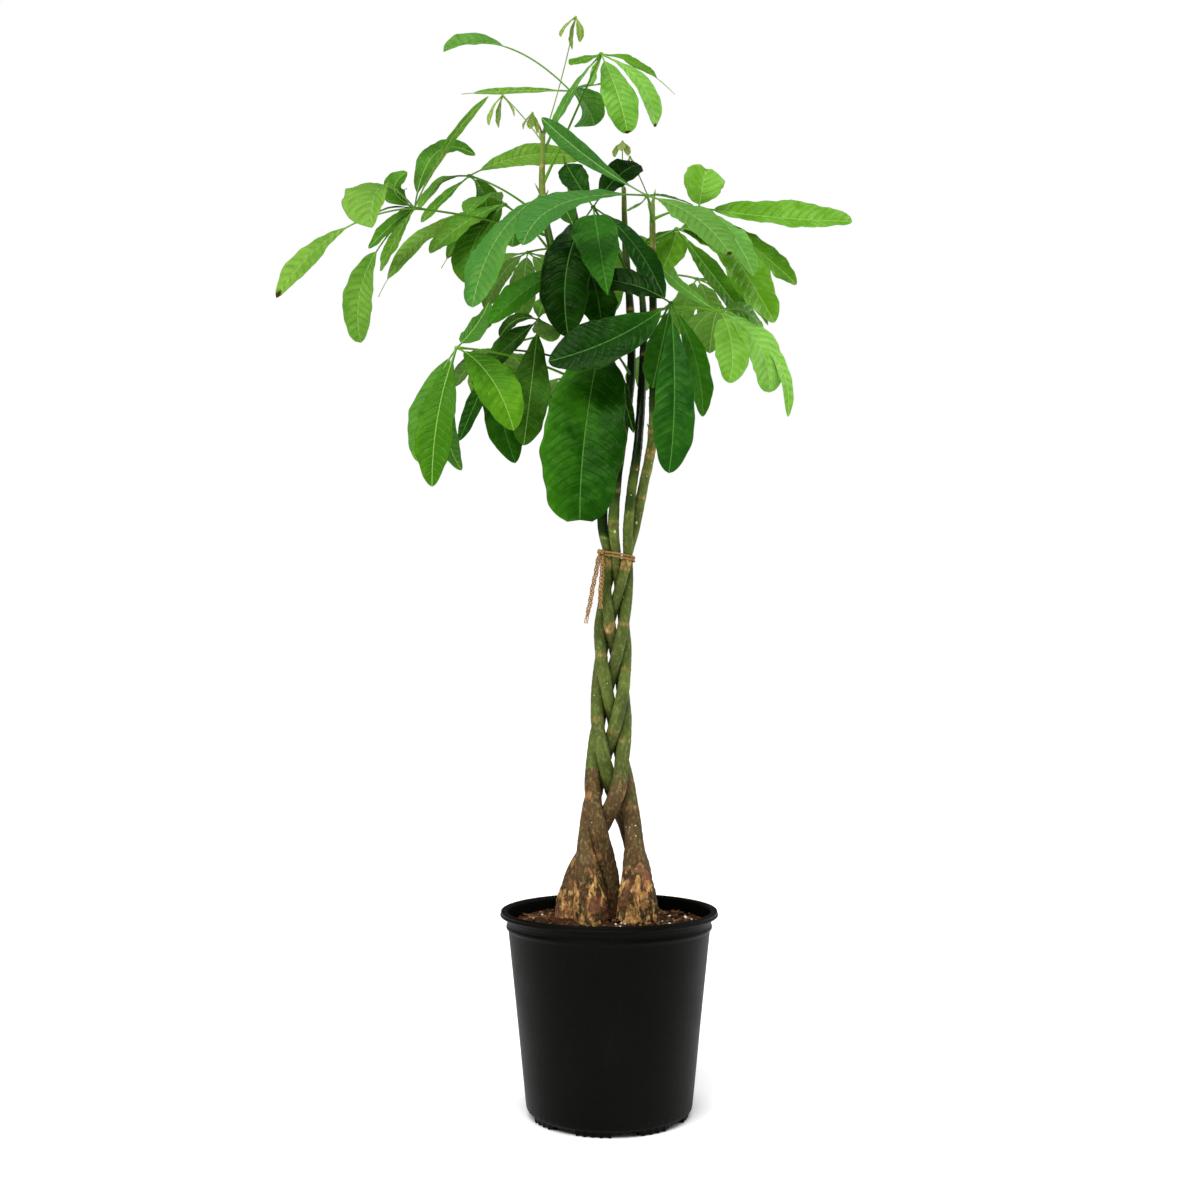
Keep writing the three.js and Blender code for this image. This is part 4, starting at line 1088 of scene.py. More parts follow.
@dataclass
class Stub:
    """A short dead twig or a sheath on a stem: its height, the angle that it looks in, its size and age."""

    stem: str
    z: float
    way: float
    rise: float
    length: float
    radius: float
    age: float

    def add_to(self, shape: Shape) -> None:
        """Adds the stub as a cone that bends upwards and starts inside its stem.

        Args:
            shape: what it is added to.
        """
        share = np.linspace(0, 1, 9)
        rise = math.radians(self.rise)
        out = polar(1, math.radians(self.way))
        way = out * math.cos(rise) + np.array([0, 0, math.sin(rise)])
        reach = self.length + 3
        path = STEMS[self.stem].point_at(self.z) + triples(0, 0, 0.15 * reach * share ** 2)
        path = path + share[:, None] * way * reach
        radii = self.radius * (1 - 0.75 * share ** 1.6) * (1 + 0.1 * np.sin(9 * share))
        grid = tube(path, radii, 10, (-out[1], out[0], 0))
        tint = np.zeros(grid.shape)
        tint[..., 0] = self.age
        tint[-2:, :, 2] = 0.4
        shape.add_closed(grid, bark=tint)


STUBS = [
    Stub("stem_middle", 845, 200, 50, 9, 2.2, 0.7),
    Stub("stem_middle", 822, 20, 35, 6, 2.6, 0.55),
    Stub("stem_middle", 877, 185, 60, 10, 1.5, 0.95),
    Stub("stem_front_left", 878, 180, 15, 12, 1.2, 1.0),
    Stub("stem_front_right", 940, 200, 40, 8, 1.4, 0.9),
    Stub("stem_back_left", 1150, 200, 55, 15, 2.0, 0.08),
    Stub("stem_back_left", 1146, 20, 60, 12, 1.8, 0.12),
    Stub("stem_back_left", 1100, 170, 50, 9, 1.8, 0.2),
    Stub("stem_back_left", 1232, 40, 75, 16, 2.2, 0.3),
    Stub("stem_back_left", 1230, 200, 70, 13, 2.0, 0.3),
    Stub("stem_middle", 1118, 190, 70, 14, 2.2, 0.0),
    Stub("stem_middle", 1134, 30, 75, 16, 2.4, 0.0),
    Stub("stem_front_left", 1178, 200, 70, 12, 1.8, 0.1),
    Stub("stem_front_right", 1204, 220, 70, 12, 1.8, 0.1),
    Stub("stem_back_right", 1108, 30, 70, 12, 1.8, 0.1),
]


# Leaves

# Where a blade's points stand between the midrib's side and the blade's edge, as shares.
ACROSS = np.array([0, 0.1, 0.24, 0.4, 0.56, 0.72, 0.86, 0.95, 1.0])

# How far the midrib stands out below, in mm: at its middle, and then at those points.
MIDRIB = np.array([0.55, 0.3, *[0.0] * (len(ACROSS) - 1)])


def mirrored(half: np.ndarray, sign: float = 1.0) -> np.ndarray:
    """Rows that run from the midrib to one edge, joined to their mirror image times sign."""
    return np.concatenate([sign * half[:, :0:-1], half], 1)


def wrapped(under: np.ndarray, upper: np.ndarray) -> np.ndarray:
    """Rows that run back along the underside and then over the upper side."""
    return np.concatenate([under[:, ::-1], upper[:, 1:-1]], 1)


@dataclass
class Blade:
    """One leaflet: its tip, its midrib's middle, its width, and how it looks.

    Tone runs from dark to light within the leaf's finish and rises by lean towards the side
    that stands along cross normal, and by fade towards the tip. Tone is partly the leaflet's
    own green and partly painted light and shade, dark deep in the crown and bright on lit
    outer leaflets, and lean and fade paint a lit side, a sheen or a shaded part on the
    blade. Cool adds blue, a painted reflection of the bright surround, and burn dries the tip.
    """

    tip: Point
    middle: Point
    width: float
    tone: float = 0.5
    # Painted reflection: cool blends in a bluish cast of the bright surround.
    cool: float = 0.0
    face: Optional[Point] = None
    neck: float = 0.1
    peak: float = 0.58
    full: float = 0.6
    tail: float = 0.0
    notch: float = 0.0
    sides: tuple[float, float] = (1, 1)
    quilt: float = 1.0
    burn: float = 0.0
    # Painted light and shade: lean lights one side of the blade, and fade its tip or its hub end.
    lean: float = 0.0
    fade: float = 0.0
    seed: int = 0

    fold: float = 0.14
    crumple: float = 1.2
    edge_wave: float = 1.7
    notch_half_share: float = 0.3
    vein_spacing: float = 10.5

    def outline(self, u: np.ndarray) -> np.ndarray:
        """Half width as a share of its most, by share of length.

        Between neck and tail it is sin(pi a^p)^full, where a^p is 0.5 at the peak. A notched
        blade keeps part of its width to the end.

        Args:
            u: shares of the length.

        Returns:
            Shares of the half width.
        """
        a = np.clip((u - self.neck) / (1 - self.neck - self.tail), 0, 1)
        power = math.log(0.5) / math.log(self.peak)
        wide = np.clip(np.sin(np.pi * a ** power), 0, 1) ** self.full
        return np.maximum(wide, self.notch_half_share * a) if self.notch else wide

    def grid(self, hub: np.ndarray, leaf_face: Point) -> tuple[np.ndarray, np.ndarray, np.ndarray]:
        """The leaflet's closed skin.

        The midrib is the parabola through hub, middle and tip. Across it the blade rises by
        its fold, bulges between side veins by 0.5 - 0.5 cos(2 pi n) of the vein count n,
        crumples unevenly and waves at its edge. Each row runs back along the underside, so
        it closes.

        Args:
            hub: the point that the leaflets spring from, in mm.
            leaf_face: the way that the leaf's upper side looks.

        Returns:
            The points, and the channels blade and look, line by side.
        """
        h, m, t = hub, np.array(self.middle, float), np.array(self.tip, float)
        length = np.linalg.norm(m - h) + np.linalg.norm(t - m)
        veins = float(np.clip(round(length * (1 - self.neck) / self.vein_spacing), 5, 16))
        s = np.linspace(0, 1, int(4.5 * veins) + 12)[:, None]
        u = s - 0.07 * np.sin(FULL_TURN * s) / FULL_TURN
        spine = h * (1 - u) * (1 - 2 * u) + m * 4 * u * (1 - u) + t * u * (2 * u - 1)
        along = unit(h * (4 * u - 3) + m * (4 - 8 * u) + t * (4 * u - 1))
        look = np.array(leaf_face if self.face is None else self.face, float)
        normal = unit(look - (along @ look)[:, None] * along)
        across = np.cross(along, normal)
        p = np.random.default_rng(self.seed + 9000).uniform(0, FULL_TURN, 8)

        def wave(turns: float, phase: float) -> np.ndarray:
            """A sine of so many turns over the length."""
            return np.sin(FULL_TURN * turns * u + phase)

        least = np.where(u < 0.5, 1.0, 0.55)
        half = np.maximum(self.width / 2 * self.outline(u), least)
        side_half = np.maximum(half * self.sides, least)
        rib = np.minimum(0.55 * half, 1.5 * (1 - 0.6 * u) + 0.1)
        right = mirrored(np.hstack([np.zeros_like(u), rib + (half - rib) * ACROSS]), -1)
        right = right * np.where(right > 0, 1 + 0.035 * wave(3.3, p[0]) + 0.02 * wave(7.1, p[1]),
                                 1 + 0.035 * wave(2.9, p[2]) + 0.02 * wave(6.3, p[3]))
        share = right / half
        right = right * np.where(right > 0, side_half[:, :1], side_half[:, 1:]) / half
        a = np.abs(share)
        count = veins * ((u - self.neck) / (1 - self.neck) - half / length * (0.42 * a + 0.5 * a ** 2))
        count = count + 0.5 * (share > 0)
        grown = smooth_step(self.neck, self.neck + 0.12, u)
        wide = half / 30
        bulge = (0.5 - 0.5 * np.cos(FULL_TURN * count)) * np.sin(np.pi * np.clip(a, 0, 1)) ** 0.7
        edge = self.edge_wave * (wave(2.1, p[4]) * (share > 0) + wave(2.4, p[5]) * (share < 0))
        flat = spine[:, None] + across[:, None] * right[..., None]
        uneven = ripple(flat, 22, self.seed + 1) + 0.35 * ripple(flat, 8, self.seed + 2)
        lift = self.fold * half * (1.45 * a - 0.45 * a ** 2) + self.quilt * 0.9 * wide ** 0.8 * bulge * grown
        lift = lift + a ** 3 * grown * wide * (edge + 0.12 * np.sin(FULL_TURN * count + p[6]))
        lift = lift + self.crumple * uneven * grown * np.sqrt(a * np.minimum(wide, 1))
        body = 0.26 + 0.6 * (1 - smooth_step(self.neck * 0.8, self.neck + 0.14, u))
        thick = body * np.sqrt(np.clip(1 - a ** 4, 0, 1))
        ridge = mirrored((1 - 0.6 * u) * MIDRIB)
        notch = self.notch * length * np.clip(2 * u - 1, 0, 1) * np.clip(1 - a, 0, 1) ** 1.5
        centre = flat - along[:, None] * notch[..., None]
        top = centre + normal[:, None] * (lift + thick - 0.3 * ridge)[..., None]
        bottom = centre + normal[:, None] * (lift - thick - ridge)[..., None]
        blade = triples(count, a, np.abs(right))
        under = np.ones_like(a)
        under[:, [0, -1]] = 0.5
        # Painted light and shade: lean and fade lighten or darken one side, the tip or the hub end.
        tone = self.tone + self.lean * share * 0.5 + self.fade * (u - 0.5)
        # Above 0 this is the painted bluish reflection; burn takes it below 0 for the dry tip.
        dry = self.cool - 2 * self.burn * smooth_step(0.94, 0.98, u - 0.03 * a)
        looks = wrapped(triples(tone, under, dry), triples(tone, 0.0, dry))
        return wrapped(bottom, top), wrapped(blade, blade), looks

    def add_to(self, shape: Shape, hub: np.ndarray, leaf_face: Point) -> None:
        """Adds the leaflet to its leaf."""
        skin, blade, look = self.grid(hub, leaf_face)
        shape.add_closed(skin, sheet=True, blade=blade, look=look)


@dataclass
class Leaf:
    """A palmate leaf: a stalk from its stem to a hub, and leaflets about the hub."""

    name: str
    stem: str
    root: float
    hub: Point
    slot: Slot
    blades: list[Blade]
    face: Point = (0, -0.5, 0.8)
    rise: float = 0.12
    bend: Optional[Point] = None
    root_radius: float = 2.5
    stalk_radius: float = 1.35
    hub_radius: float = 3.3
    stalk_tone: float = 0.45

    def add_stalk(self, shape: Shape) -> None:
        """Adds the stalk, swollen where it leaves the stem and under the leaflets, and the hub.

        Its line is a quadratic Bezier from the stem's centre line by the bend to the hub.

        Args:
            shape: the leaf's own shape.
        """
        root, hub = STEMS[self.stem].point_at(self.root), np.array(self.hub, float)
        bend = (root + hub) / 2 + [0, 0, self.rise * np.linalg.norm(hub - root)]
        if self.bend is not None:
            bend = np.array(self.bend, float)
        t = np.linspace(0, 1, 30)
        path = np.outer((1 - t) ** 2, root) + np.outer(2 * t * (1 - t), bend) + np.outer(t ** 2, hub)
        radii = self.stalk_radius + (self.root_radius - self.stalk_radius) * (1 - t) ** 5
        radii = radii + 0.55 * self.stalk_radius * smooth_step(0.9, 1.0, t)
        chord = unit(hub - root)
        level = np.cross(chord, (0, 0, 1) if abs(chord[2]) < 0.95 else (0, 1, 0))
        stalk = tube(path, radii, 10, unit(level))
        shape.add_closed(stalk, blade=(0.5, 1.0, 40.0), look=(self.stalk_tone, 0.3, 0.0))
        ball, tris = pebble()
        shape.add(hub + ball * self.hub_radius * [1, 1, 0.8], tris, blade=(0.5, 1.0, 0.8),
                  look=(self.stalk_tone + 0.2, 0.0, 0.0))

    def build(self) -> None:
        """Makes the whole leaf as one piece."""
        shape = Shape("blade", "look")
        self.add_stalk(shape)
        for number, blade in enumerate(self.blades):
            blade.seed = sum(map(ord, self.name)) * 10 + number
            blade.add_to(shape, np.array(self.hub, float), self.face)
        shape.make(f"{self.name}_blades", self.slot, self.name)


@dataclass
class Fan:
    """A leaf on the far side: five like leaflets spread about its heading, the outer ones shorter."""

    name: str
    stem: str
    root: float
    hub: Point
    heading: float
    reach: float
    spread: float
    slot: Slot
    tone: float = 0.45
    count: int = 5
    width: float = 40.0
    neck: float = 0.12
    drop: float = 0.55
    bulge: float = 0.12
    side_share: float = 0.78
    out_share: float = 0.82
    arch_out: float = 0.06

    def leaf(self) -> Leaf:
        """Spreads the leaflets: tip = hub + out 0.82 length - z 0.55 length, middle a little raised.

        Returns:
            The leaf.
        """
        hub = np.array(self.hub, float)
        made = []
        for share in np.linspace(-0.5, 0.5, self.count):
            angle = math.radians(self.heading + share * self.spread)
            length = self.reach * (1 - (1 - self.side_share) * abs(share) * 2)
            out = polar(1, angle)
            tip = hub + out * length * self.out_share - [0, 0, length * self.drop]
            middle = (hub + tip) / 2 + out * length * self.arch_out + [0, 0, length * self.bulge]
            # cool=0.15 paints a faint bluish reflection on each leaflet.
            made.append(Blade(tip, middle, self.width, self.tone + 0.3 * math.sin(7 * angle), cool=0.15,
                              face=(out[0] * 0.5, out[1] * 0.5, 0.8), neck=self.neck))
        return Leaf(self.name, self.stem, self.root, self.hub, self.slot, made)


@dataclass
class Bud:
    """A young leaf that still hangs folded on a thin stalk from a stem's tip."""

    name: str
    stem: str
    root: float
    hub: Point
    stalk: Point
    tips: list[Point]
    width: float = 11.0
    arch: float = 0.1

    def leaf(self) -> Leaf:
        """Hangs the narrow leaflets, each bowed a little away from the hub.

        Returns:
            The leaf.
        """
        hub = np.array(self.hub, float)
        made = []
        for number, tip in enumerate(self.tips):
            away = unit((tip - hub) * [1, 1, 0])
            middle = (hub + tip) / 2 + away * self.arch * np.linalg.norm(tip - hub)
            made.append(Blade(tip, middle, self.width, 0.35 + 0.25 * (number % 3),
                              face=(away[0], away[1] - 0.4, 0.3), quilt=0.4))
        return Leaf(self.name, self.stem, self.root, self.hub, Slot.LEAF_YOUNG, made, bend=self.stalk,
                    root_radius=1.1, stalk_radius=0.75, hub_radius=1.7, stalk_tone=0.3)


# The tones below are partly each leaflet's own green and partly painted light and shade; lean and fade paint
# lit sides and sheens, and cool paints a bluish reflection.
LEAVES = [
    Leaf("leaf_far_left", "stem_back_left", 1100, (-245, -40, 1125), Slot.LEAF_MID, [
        Blade((-150, -75, 1254), (-202, -60, 1198), 11, 0.85, cool=0.1, face=(0.6, -0.6, 0.1)),
        Blade((-175, 25, 1220), (-223, 0, 1213), 38, 0.4, face=(-0.2, -0.8, 0.5), peak=0.5),
        Blade((-280, -150, 1061), (-275, -110, 1126), 74, 0.72,
              cool=0.15, face=(-0.15, -0.8, 0.6), peak=0.72, sides=(1, 0.45), fade=0.8),
        Blade((-405, -90, 995), (-333, -75, 1082), 36, 0.9, face=(-0.1, -0.8, 0.6), neck=0.45, burn=0.6),
        Blade((-290, -25, 1049), (-267, -40, 1088), 26, 0.7, face=(-0.5, -0.8, 0.3)),
        Blade((-325, 40, 974), (-315, 15, 1060), 46, 0.75,
              cool=0.1, face=(-0.3, -0.9, 0.2), neck=0.35, peak=0.55, full=0.5),
        Blade((-252, -60, 1164), (-268, -55, 1142), 36, 0.45, face=(-0.3, -0.8, 0.5), full=0.45),
        Blade((-306, -20, 1080), (-271, -30, 1111), 26, 0.45, face=(-0.5, -0.8, 0.3), full=0.45),
        Blade((-291, -50, 1115), (-271, -48, 1123), 8, 0.1),
    ], (-0.3, -0.6, 0.7), 0.05),
    Leaf("leaf_left_top", "stem_back_left", 1118, (-185, 45, 1200), Slot.LEAF_MID, [
        Blade((-249, 30, 1149), (-221, 35, 1187), 30, 0.8, cool=0.1, face=(-0.3, -0.6, 0.7)),
        Blade((-255, 95, 1155), (-225, 80, 1180), 24, 0.7, face=(-0.5, -0.8, 0.3)),
        Blade((-40, 120, 1255), (-112, 90, 1246), 44, 0.8, face=(0, -0.95, 0.3), full=0.5, sides=(1, 0.78)),
        Blade((-175, 85, 1130), (-165, 70, 1175), 44, 0.35, face=(0.1, -0.9, 0.3)),
    ], (0, -0.5, 0.85)),
    Leaf("leaf_left_middle", "stem_back_left", 1072, (-135, 15, 1150), Slot.LEAF_MID, [
        Blade((-175, -75, 1105), (-155, -40, 1140), 44, 0.6),
        Blade((-229, -10, 1077), (-183, 0, 1122), 44, 0.62, face=(-0.3, -0.8, 0.5)),
        Blade((-222, 55, 1078), (-182, 45, 1132), 34, 0.4, face=(-0.3, -0.9, 0.3), tail=0.1),
        Blade((-184, 0, 1041), (-170, 0, 1100), 54, 0.5, face=(-0.4, -0.9, 0.2)),
        Blade((-296, 0, 1023), (-234, 10, 1109), 30, 0.95,
              cool=0.1, face=(-0.3, -0.85, 0.45), neck=0.2, tail=0.12),
    ], (-0.3, -0.5, 0.8)),
    Leaf("leaf_front_left", "stem_back_left", 1085, (-85, -80, 1125), Slot.LEAF_MID, [
        Blade((-163, -125, 973), (-136, -115, 1058), 62, 0.5,
              cool=0.7, face=(-0.5, -0.8, 0.3), peak=0.66, full=0.45, sides=(0.75, 1.05), quilt=1.4,
              lean=-0.5,
              fade=0.4),
        Blade((-120, -70, 1065), (-110, -80, 1095), 40, 0.4, cool=0.2, face=(-0.2, -0.9, 0.4)),
        Blade((-45, -95, 1085), (-62, -96, 1112), 32, 0.2, cool=0.2, face=(0.2, -0.9, 0.4)),
    ], (-0.3, -0.7, 0.6)),
    Leaf("leaf_front_right", "stem_middle", 1112, (45, -110, 1115), Slot.LEAF_MID, [
        Blade((-101, -165, 1035), (-55, -150, 1090), 54, 0.25, cool=0.7, face=(-0.1, -0.75, 0.65), peak=0.6),
        Blade((139, -175, 1020), (101, -155, 1071), 56, 1.0,
              cool=0.6, face=(0.1, -0.75, 0.65), sides=(1, 0.8), burn=1),
        Blade((-85, -45, 1240), (-22, -75, 1173), 24, 0.1, cool=0.5, face=(-0.5, -0.75, 0), peak=0.68),
        Blade((21, -60, 1115), (36, -85, 1112), 14, 0.6, face=(0.1, -0.95, 0.3)),
        Blade((104, -60, 1122), (70, -95, 1119), 14, 0.2, face=(0, -0.7, 0.7)),
    ], (0, -0.6, 0.8)),
    Leaf("leaf_centre", "stem_front_left", 1060, (-20, -30, 1130), Slot.LEAF_DARK, [
        Blade((-50, -80, 950), (-51, -75, 1043), 62, 0.12, face=(-0.1, -0.95, 0.3), full=0.5, lean=-0.4),
        Blade((-2, -115, 991), (-11, -100, 1050), 64, 1,
              cool=0.4, face=(0, -0.9, 0.4), peak=0.25, full=0.9, sides=(1, 0.8), quilt=2),
        Blade((69, -45, 1007), (31, -55, 1073), 36, 0.35,
              cool=0.3, face=(0.3, -0.9, 0.4), peak=0.6, quilt=1.4),
        Blade((-55, 6, 1200), (-42, -14, 1170), 36, 0.5, face=(-0.2, -0.8, 0.5)),
        Blade((40, 20, 1205), (12, -5, 1180), 44, 0.25, face=(0.1, -0.8, 0.6)),
    ], (0, -0.8, 0.6)),
    Leaf("leaf_right_high", "stem_middle", 1115, (115, -15, 1135), Slot.LEAF_BRIGHT, [
        Blade((124, -20, 1186), (118, -35, 1153), 52, 0.7,
              face=(0.1, -0.95, -0.2), peak=0.62, full=0.42, notch=0.2, quilt=0.6),
        Blade((310, -20, 1115), (212, -15, 1122), 60, 0.6,
              face=(0, -0.85, 0.5), peak=0.55, full=0.45, sides=(0.65, 1), quilt=0.6),
        Blade((175, -95, 1021), (150, -75, 1079), 36, 0.5, cool=0.4, face=(0.2, -0.8, 0.6)),
        Blade((241, 0, 1039), (189, -5, 1084), 44, 0.35, face=(0.3, -0.8, 0.5), quilt=0.6),
        Blade((205, -55, 974), (161, -50, 1053), 62, 0.55, face=(0.3, -0.85, 0.4), quilt=0.6),
    ], (0.2, -0.6, 0.8)),
    Leaf("leaf_right_middle", "stem_back_right", 1085, (90, 50, 1130), Slot.LEAF_BRIGHT, [
        Blade((185, 45, 1001), (135, 45, 1069), 40, 0.1, face=(0.3, -0.8, 0.5)),
        Blade((140, 110, 1135), (120, 85, 1140), 34, 0.4, face=(0.2, -0.8, 0.6)),
        Blade((68, 60, 1071), (84, 55, 1105), 42, 0.55, face=(-0.1, -0.95, 0.2), peak=0.38),
        Blade((180, 130, 1106), (134, 100, 1129), 42, 0.5, face=(0.3, -0.8, 0.5)),
        Blade((47, 40, 1106), (69, 40, 1117), 12, 0, face=(-0.1, -0.95, 0.2)),
    ], (0.2, -0.7, 0.7)),
    Leaf("leaf_right_low", "stem_middle", 960, (75, -85, 990), Slot.LEAF_DARK, [
        Blade((-72, -140, 904), (6, -135, 933), 70, 0.25,
              cool=0.1, face=(-0.1, -0.9, 0.4), quilt=2.4, fade=-1.1),
        Blade((70, -120, 775), (77, -120, 868), 50, 0.6,
              cool=0.35, face=(0.05, -0.95, 0.2), full=0.55, quilt=2.2),
        Blade((115, -60, 855), (105, -75, 925), 34, 0.9, face=(0.3, -0.9, 0.3)),
        Blade((-20, -64, 1025), (30, -82, 1013), 48, 0.05, face=(0, -0.8, 0.6)),
        Blade((55, -20, 900), (65, -50, 945), 38, 0.7, face=(0, -0.95, 0.3)),
    ], (0.1, -0.8, 0.6)),
    Leaf("leaf_right_outer", "stem_middle", 1000, (140, -45, 990), Slot.LEAF_BRIGHT, [
        Blade((71, -10, 1054), (108, -25, 1016), 32, 0.3,
              cool=0.3, face=(0.3, -0.8, 0.5), peak=0.7, sides=(0.6, 1)),
        Blade((145, -90, 890), (149, -85, 937), 44, 0.75, face=(0.1, -0.95, 0.3), peak=0.45, full=0.5),
        Blade((196, -65, 884), (183, -72, 943), 50, 0.85, cool=0.1, face=(0.35, -0.85, 0.4), full=0.4),
        Blade((200, 20, 985), (172, -5, 1003), 36, 0.3),
        Blade((220, -60, 855), (203, -67, 932), 18, 0.85, face=(0.35, -0.85, 0.4), full=0.5),
    ], (0.3, -0.7, 0.6)),
    Leaf("leaf_front_low", "stem_front_left", 920, (-10, -85, 945), Slot.LEAF_DARK, [
        Blade((-35, -135, 715), (-29, -125, 822), 98, 0.6,
              face=(-0.05, -1, 0.15), peak=0.5, full=0.3, notch=0.02, quilt=0.7, lean=0.5),
        Blade((30, -60, 835), (12, -75, 892), 18, 0.2, face=(0.2, -0.9, 0.3)),
    ], (0, -1, 0.25)),
    Leaf("leaf_lower_left", "stem_back_left", 905, (-190, -45, 945), Slot.LEAF_BRIGHT, [
        Blade((-215, -80, 765), (-208, -80, 855), 48, -0.1, face=(-0.2, -0.95, 0.25), quilt=0.7, lean=0.4),
        Blade((-115, -100, 830), (-144, -95, 896), 56, 0.12, face=(0.2, -0.9, 0.4), quilt=0.7, fade=0.6),
        Blade((-240, -25, 805), (-225, -35, 880), 42, 0.15, cool=0.2, face=(-0.3, -0.9, 0.3)),
        Blade((-189, 15, 801), (-207, -10, 861), 26, 0, cool=0.2, face=(0, -0.95, 0.3)),
        Blade((-154, -5, 1014), (-167, -22, 981), 44, 0,
              cool=0.2, face=(-0.3, -0.9, 0.3), peak=0.3, sides=(1, 0.4)),
    ], (-0.1, -0.9, 0.5)),
    Leaf("leaf_left_inner", "stem_front_right", 925, (-145, 40, 965), Slot.LEAF_DARK, [
        Blade((-195, 40, 844), (-171, 40, 902), 24, 0.6, cool=0.1),
        Blade((-123, 60, 818), (-144, 55, 895), 50, 0.7, cool=0.1, face=(0.2, -0.9, 0.3)),
        Blade((-175, 110, 925), (-165, 85, 950), 40, 0.4),
    ], (-0.1, -0.9, 0.5)),
    Leaf("leaf_middle_left", "stem_back_left", 955, (-90, -10, 990), Slot.LEAF_MID, [
        Blade((-106, -45, 822), (-97, -44, 897), 50, 0.15, face=(-0.1, -0.95, 0.2)),
        Blade((-160, 15, 935), (-125, 8, 965), 42, 0.2, cool=0.1, face=(-0.4, -0.8, 0.4)),
        Blade((-140, 5, 972), (-118, 5, 995), 24, 0.1),
        Blade((-70, -75, 945), (-80, -50, 965), 34, 0.85, face=(0.2, -0.8, 0.6)),
        Blade((-84, 40, 1032), (-88, 15, 1012), 22, 0.6, face=(0, -0.9, -0.2)),
    ], (-0.2, -0.8, 0.6)),
    Leaf("leaf_inner", "stem_front_right", 1010, (-30, -22, 1065), Slot.LEAF_DARK, [
        Blade((-151, -38, 977), (-91, -38, 1030), 48, 0.85, face=(-0.3, -0.8, 0.5), peak=0.66, fade=0.5),
        Blade((-90, 70, 1035), (-65, 45, 1055), 44, 0.9, face=(-0.2, -0.8, 0.6)),
        Blade((-10, -45, 970), (-15, -35, 1015), 46, 0.5, face=(0, -0.9, 0.4)),
    ], (0, -0.7, 0.7)),
    Leaf("leaf_top", "stem_back_left", 1165, (-10, -20, 1335), Slot.LEAF_BRIGHT, [
        Blade((23, -60, 1213), (10, -55, 1268), 44, 0.6,
              cool=0.15, face=(0.1, -0.9, 0.4), full=0.5, quilt=0.8, burn=0.5),
        Blade((58, -40, 1230), (40, -45, 1285), 32, 0.85,
              cool=0.1, face=(0.5, -0.85, 0.3), quilt=0.8, burn=0.5),
        Blade((85, -15, 1284), (37, -20, 1320), 36, 0.35, face=(0.15, -0.6, 0.75), tail=0.25),
        Blade((-48, -75, 1294), (-31, -55, 1311), 40, 0.4, face=(-0.1, -0.6, 0.75), sides=(0.6, 1)),
        Blade((-74, -15, 1232), (-44, -22, 1289), 30, 0.2, cool=0.3, face=(-0.6, -0.5, 0.4), peak=0.68),
        Blade((-25, 26, 1318), (-15, 6, 1327), 24, 0.9, face=(0, -0.9, 0.3)),
    ], (0.1, -0.8, 0.6), -0.02),
    Leaf("leaf_top_left", "stem_back_left", 1205, (-50, 10, 1300), Slot.LEAF_MID, [
        Blade((-215, 0, 1348), (-135, 5, 1357), 38, 0.75,
              cool=0.45, face=(0, -0.9, 0.4), neck=0.52, sides=(1, 0.25)),
        Blade((-187, -40, 1273), (-118, -15, 1289), 12, 0.85, cool=0.1, face=(0, -0.9, 0.3), tail=0.1),
        Blade((-19, 60, 1275), (-31, 40, 1295), 66, 0.5, cool=0.4, face=(0, -0.95, 0.2), sides=(1, 0.75)),
        Blade((5, 95, 1349), (-25, 60, 1330), 26, 0.6, cool=0.3),
    ], (-0.1, -0.4, 0.9), 0.02),
]

FANS = [
    Fan("leaf_back_left", "stem_front_right", 1085, (-112, 140, 1128), 98, 125, 150, Slot.LEAF_MID),
    Fan("leaf_back", "stem_front_right", 1130, (5, 190, 1175), 88, 150, 160, Slot.LEAF_MID, 0.6),
    Fan("leaf_back_right", "stem_back_right", 1060, (125, 155, 1095), 35, 135, 140, Slot.LEAF_BRIGHT),
    Fan("leaf_left_side", "stem_front_right", 985, (-150, 115, 985), 118, 95, 150, Slot.LEAF_MID, 0.3),
    Fan("leaf_back_low_left", "stem_front_right", 900, (-50, 175, 960), 100, 112, 150, Slot.LEAF_DARK, 0.6),
    Fan("leaf_back_low_right", "stem_back_right", 935, (80, 185, 1000), 78, 92, 150, Slot.LEAF_DARK, 0.7),
    Fan("leaf_right_side", "stem_back_right", 1000, (150, 110, 1040), 58, 92, 150, Slot.LEAF_BRIGHT, 0.3),
]

BUDS = [
    Bud("bud_top", "stem_back_left", 1226, (-43, 0, 1395), (-62, 2, 1300),
        [(-62, -10, 1363), (-48, 6, 1354), (-36, 10, 1370), (-38, -6, 1358)]),
    Bud("bud_left", "stem_back_left", 1222, (-139, 16, 1297), (-110, 4, 1264),
        [(-156, 8, 1253), (-145, 24, 1257), (-124, 26, 1273)]),
    Bud("bud_middle", "stem_back_left", 1216, (-100, 22, 1276), (-92, 10, 1252),
        [(-112, 22, 1254), (-94, 30, 1252), (-104, 40, 1262)]),
    Bud("bud_right", "stem_front_left", 1172, (18, 0, 1228), (17, 26, 1200),
        [(8, -8, 1204), (24, -8, 1206), (16, -14, 1210)]),
    Bud("bud_right_low", "stem_middle", 1128, (28, 34, 1222), (50, 30, 1175),
        [(36, 40, 1202), (24, 46, 1204)]),
]


# Pot and soil


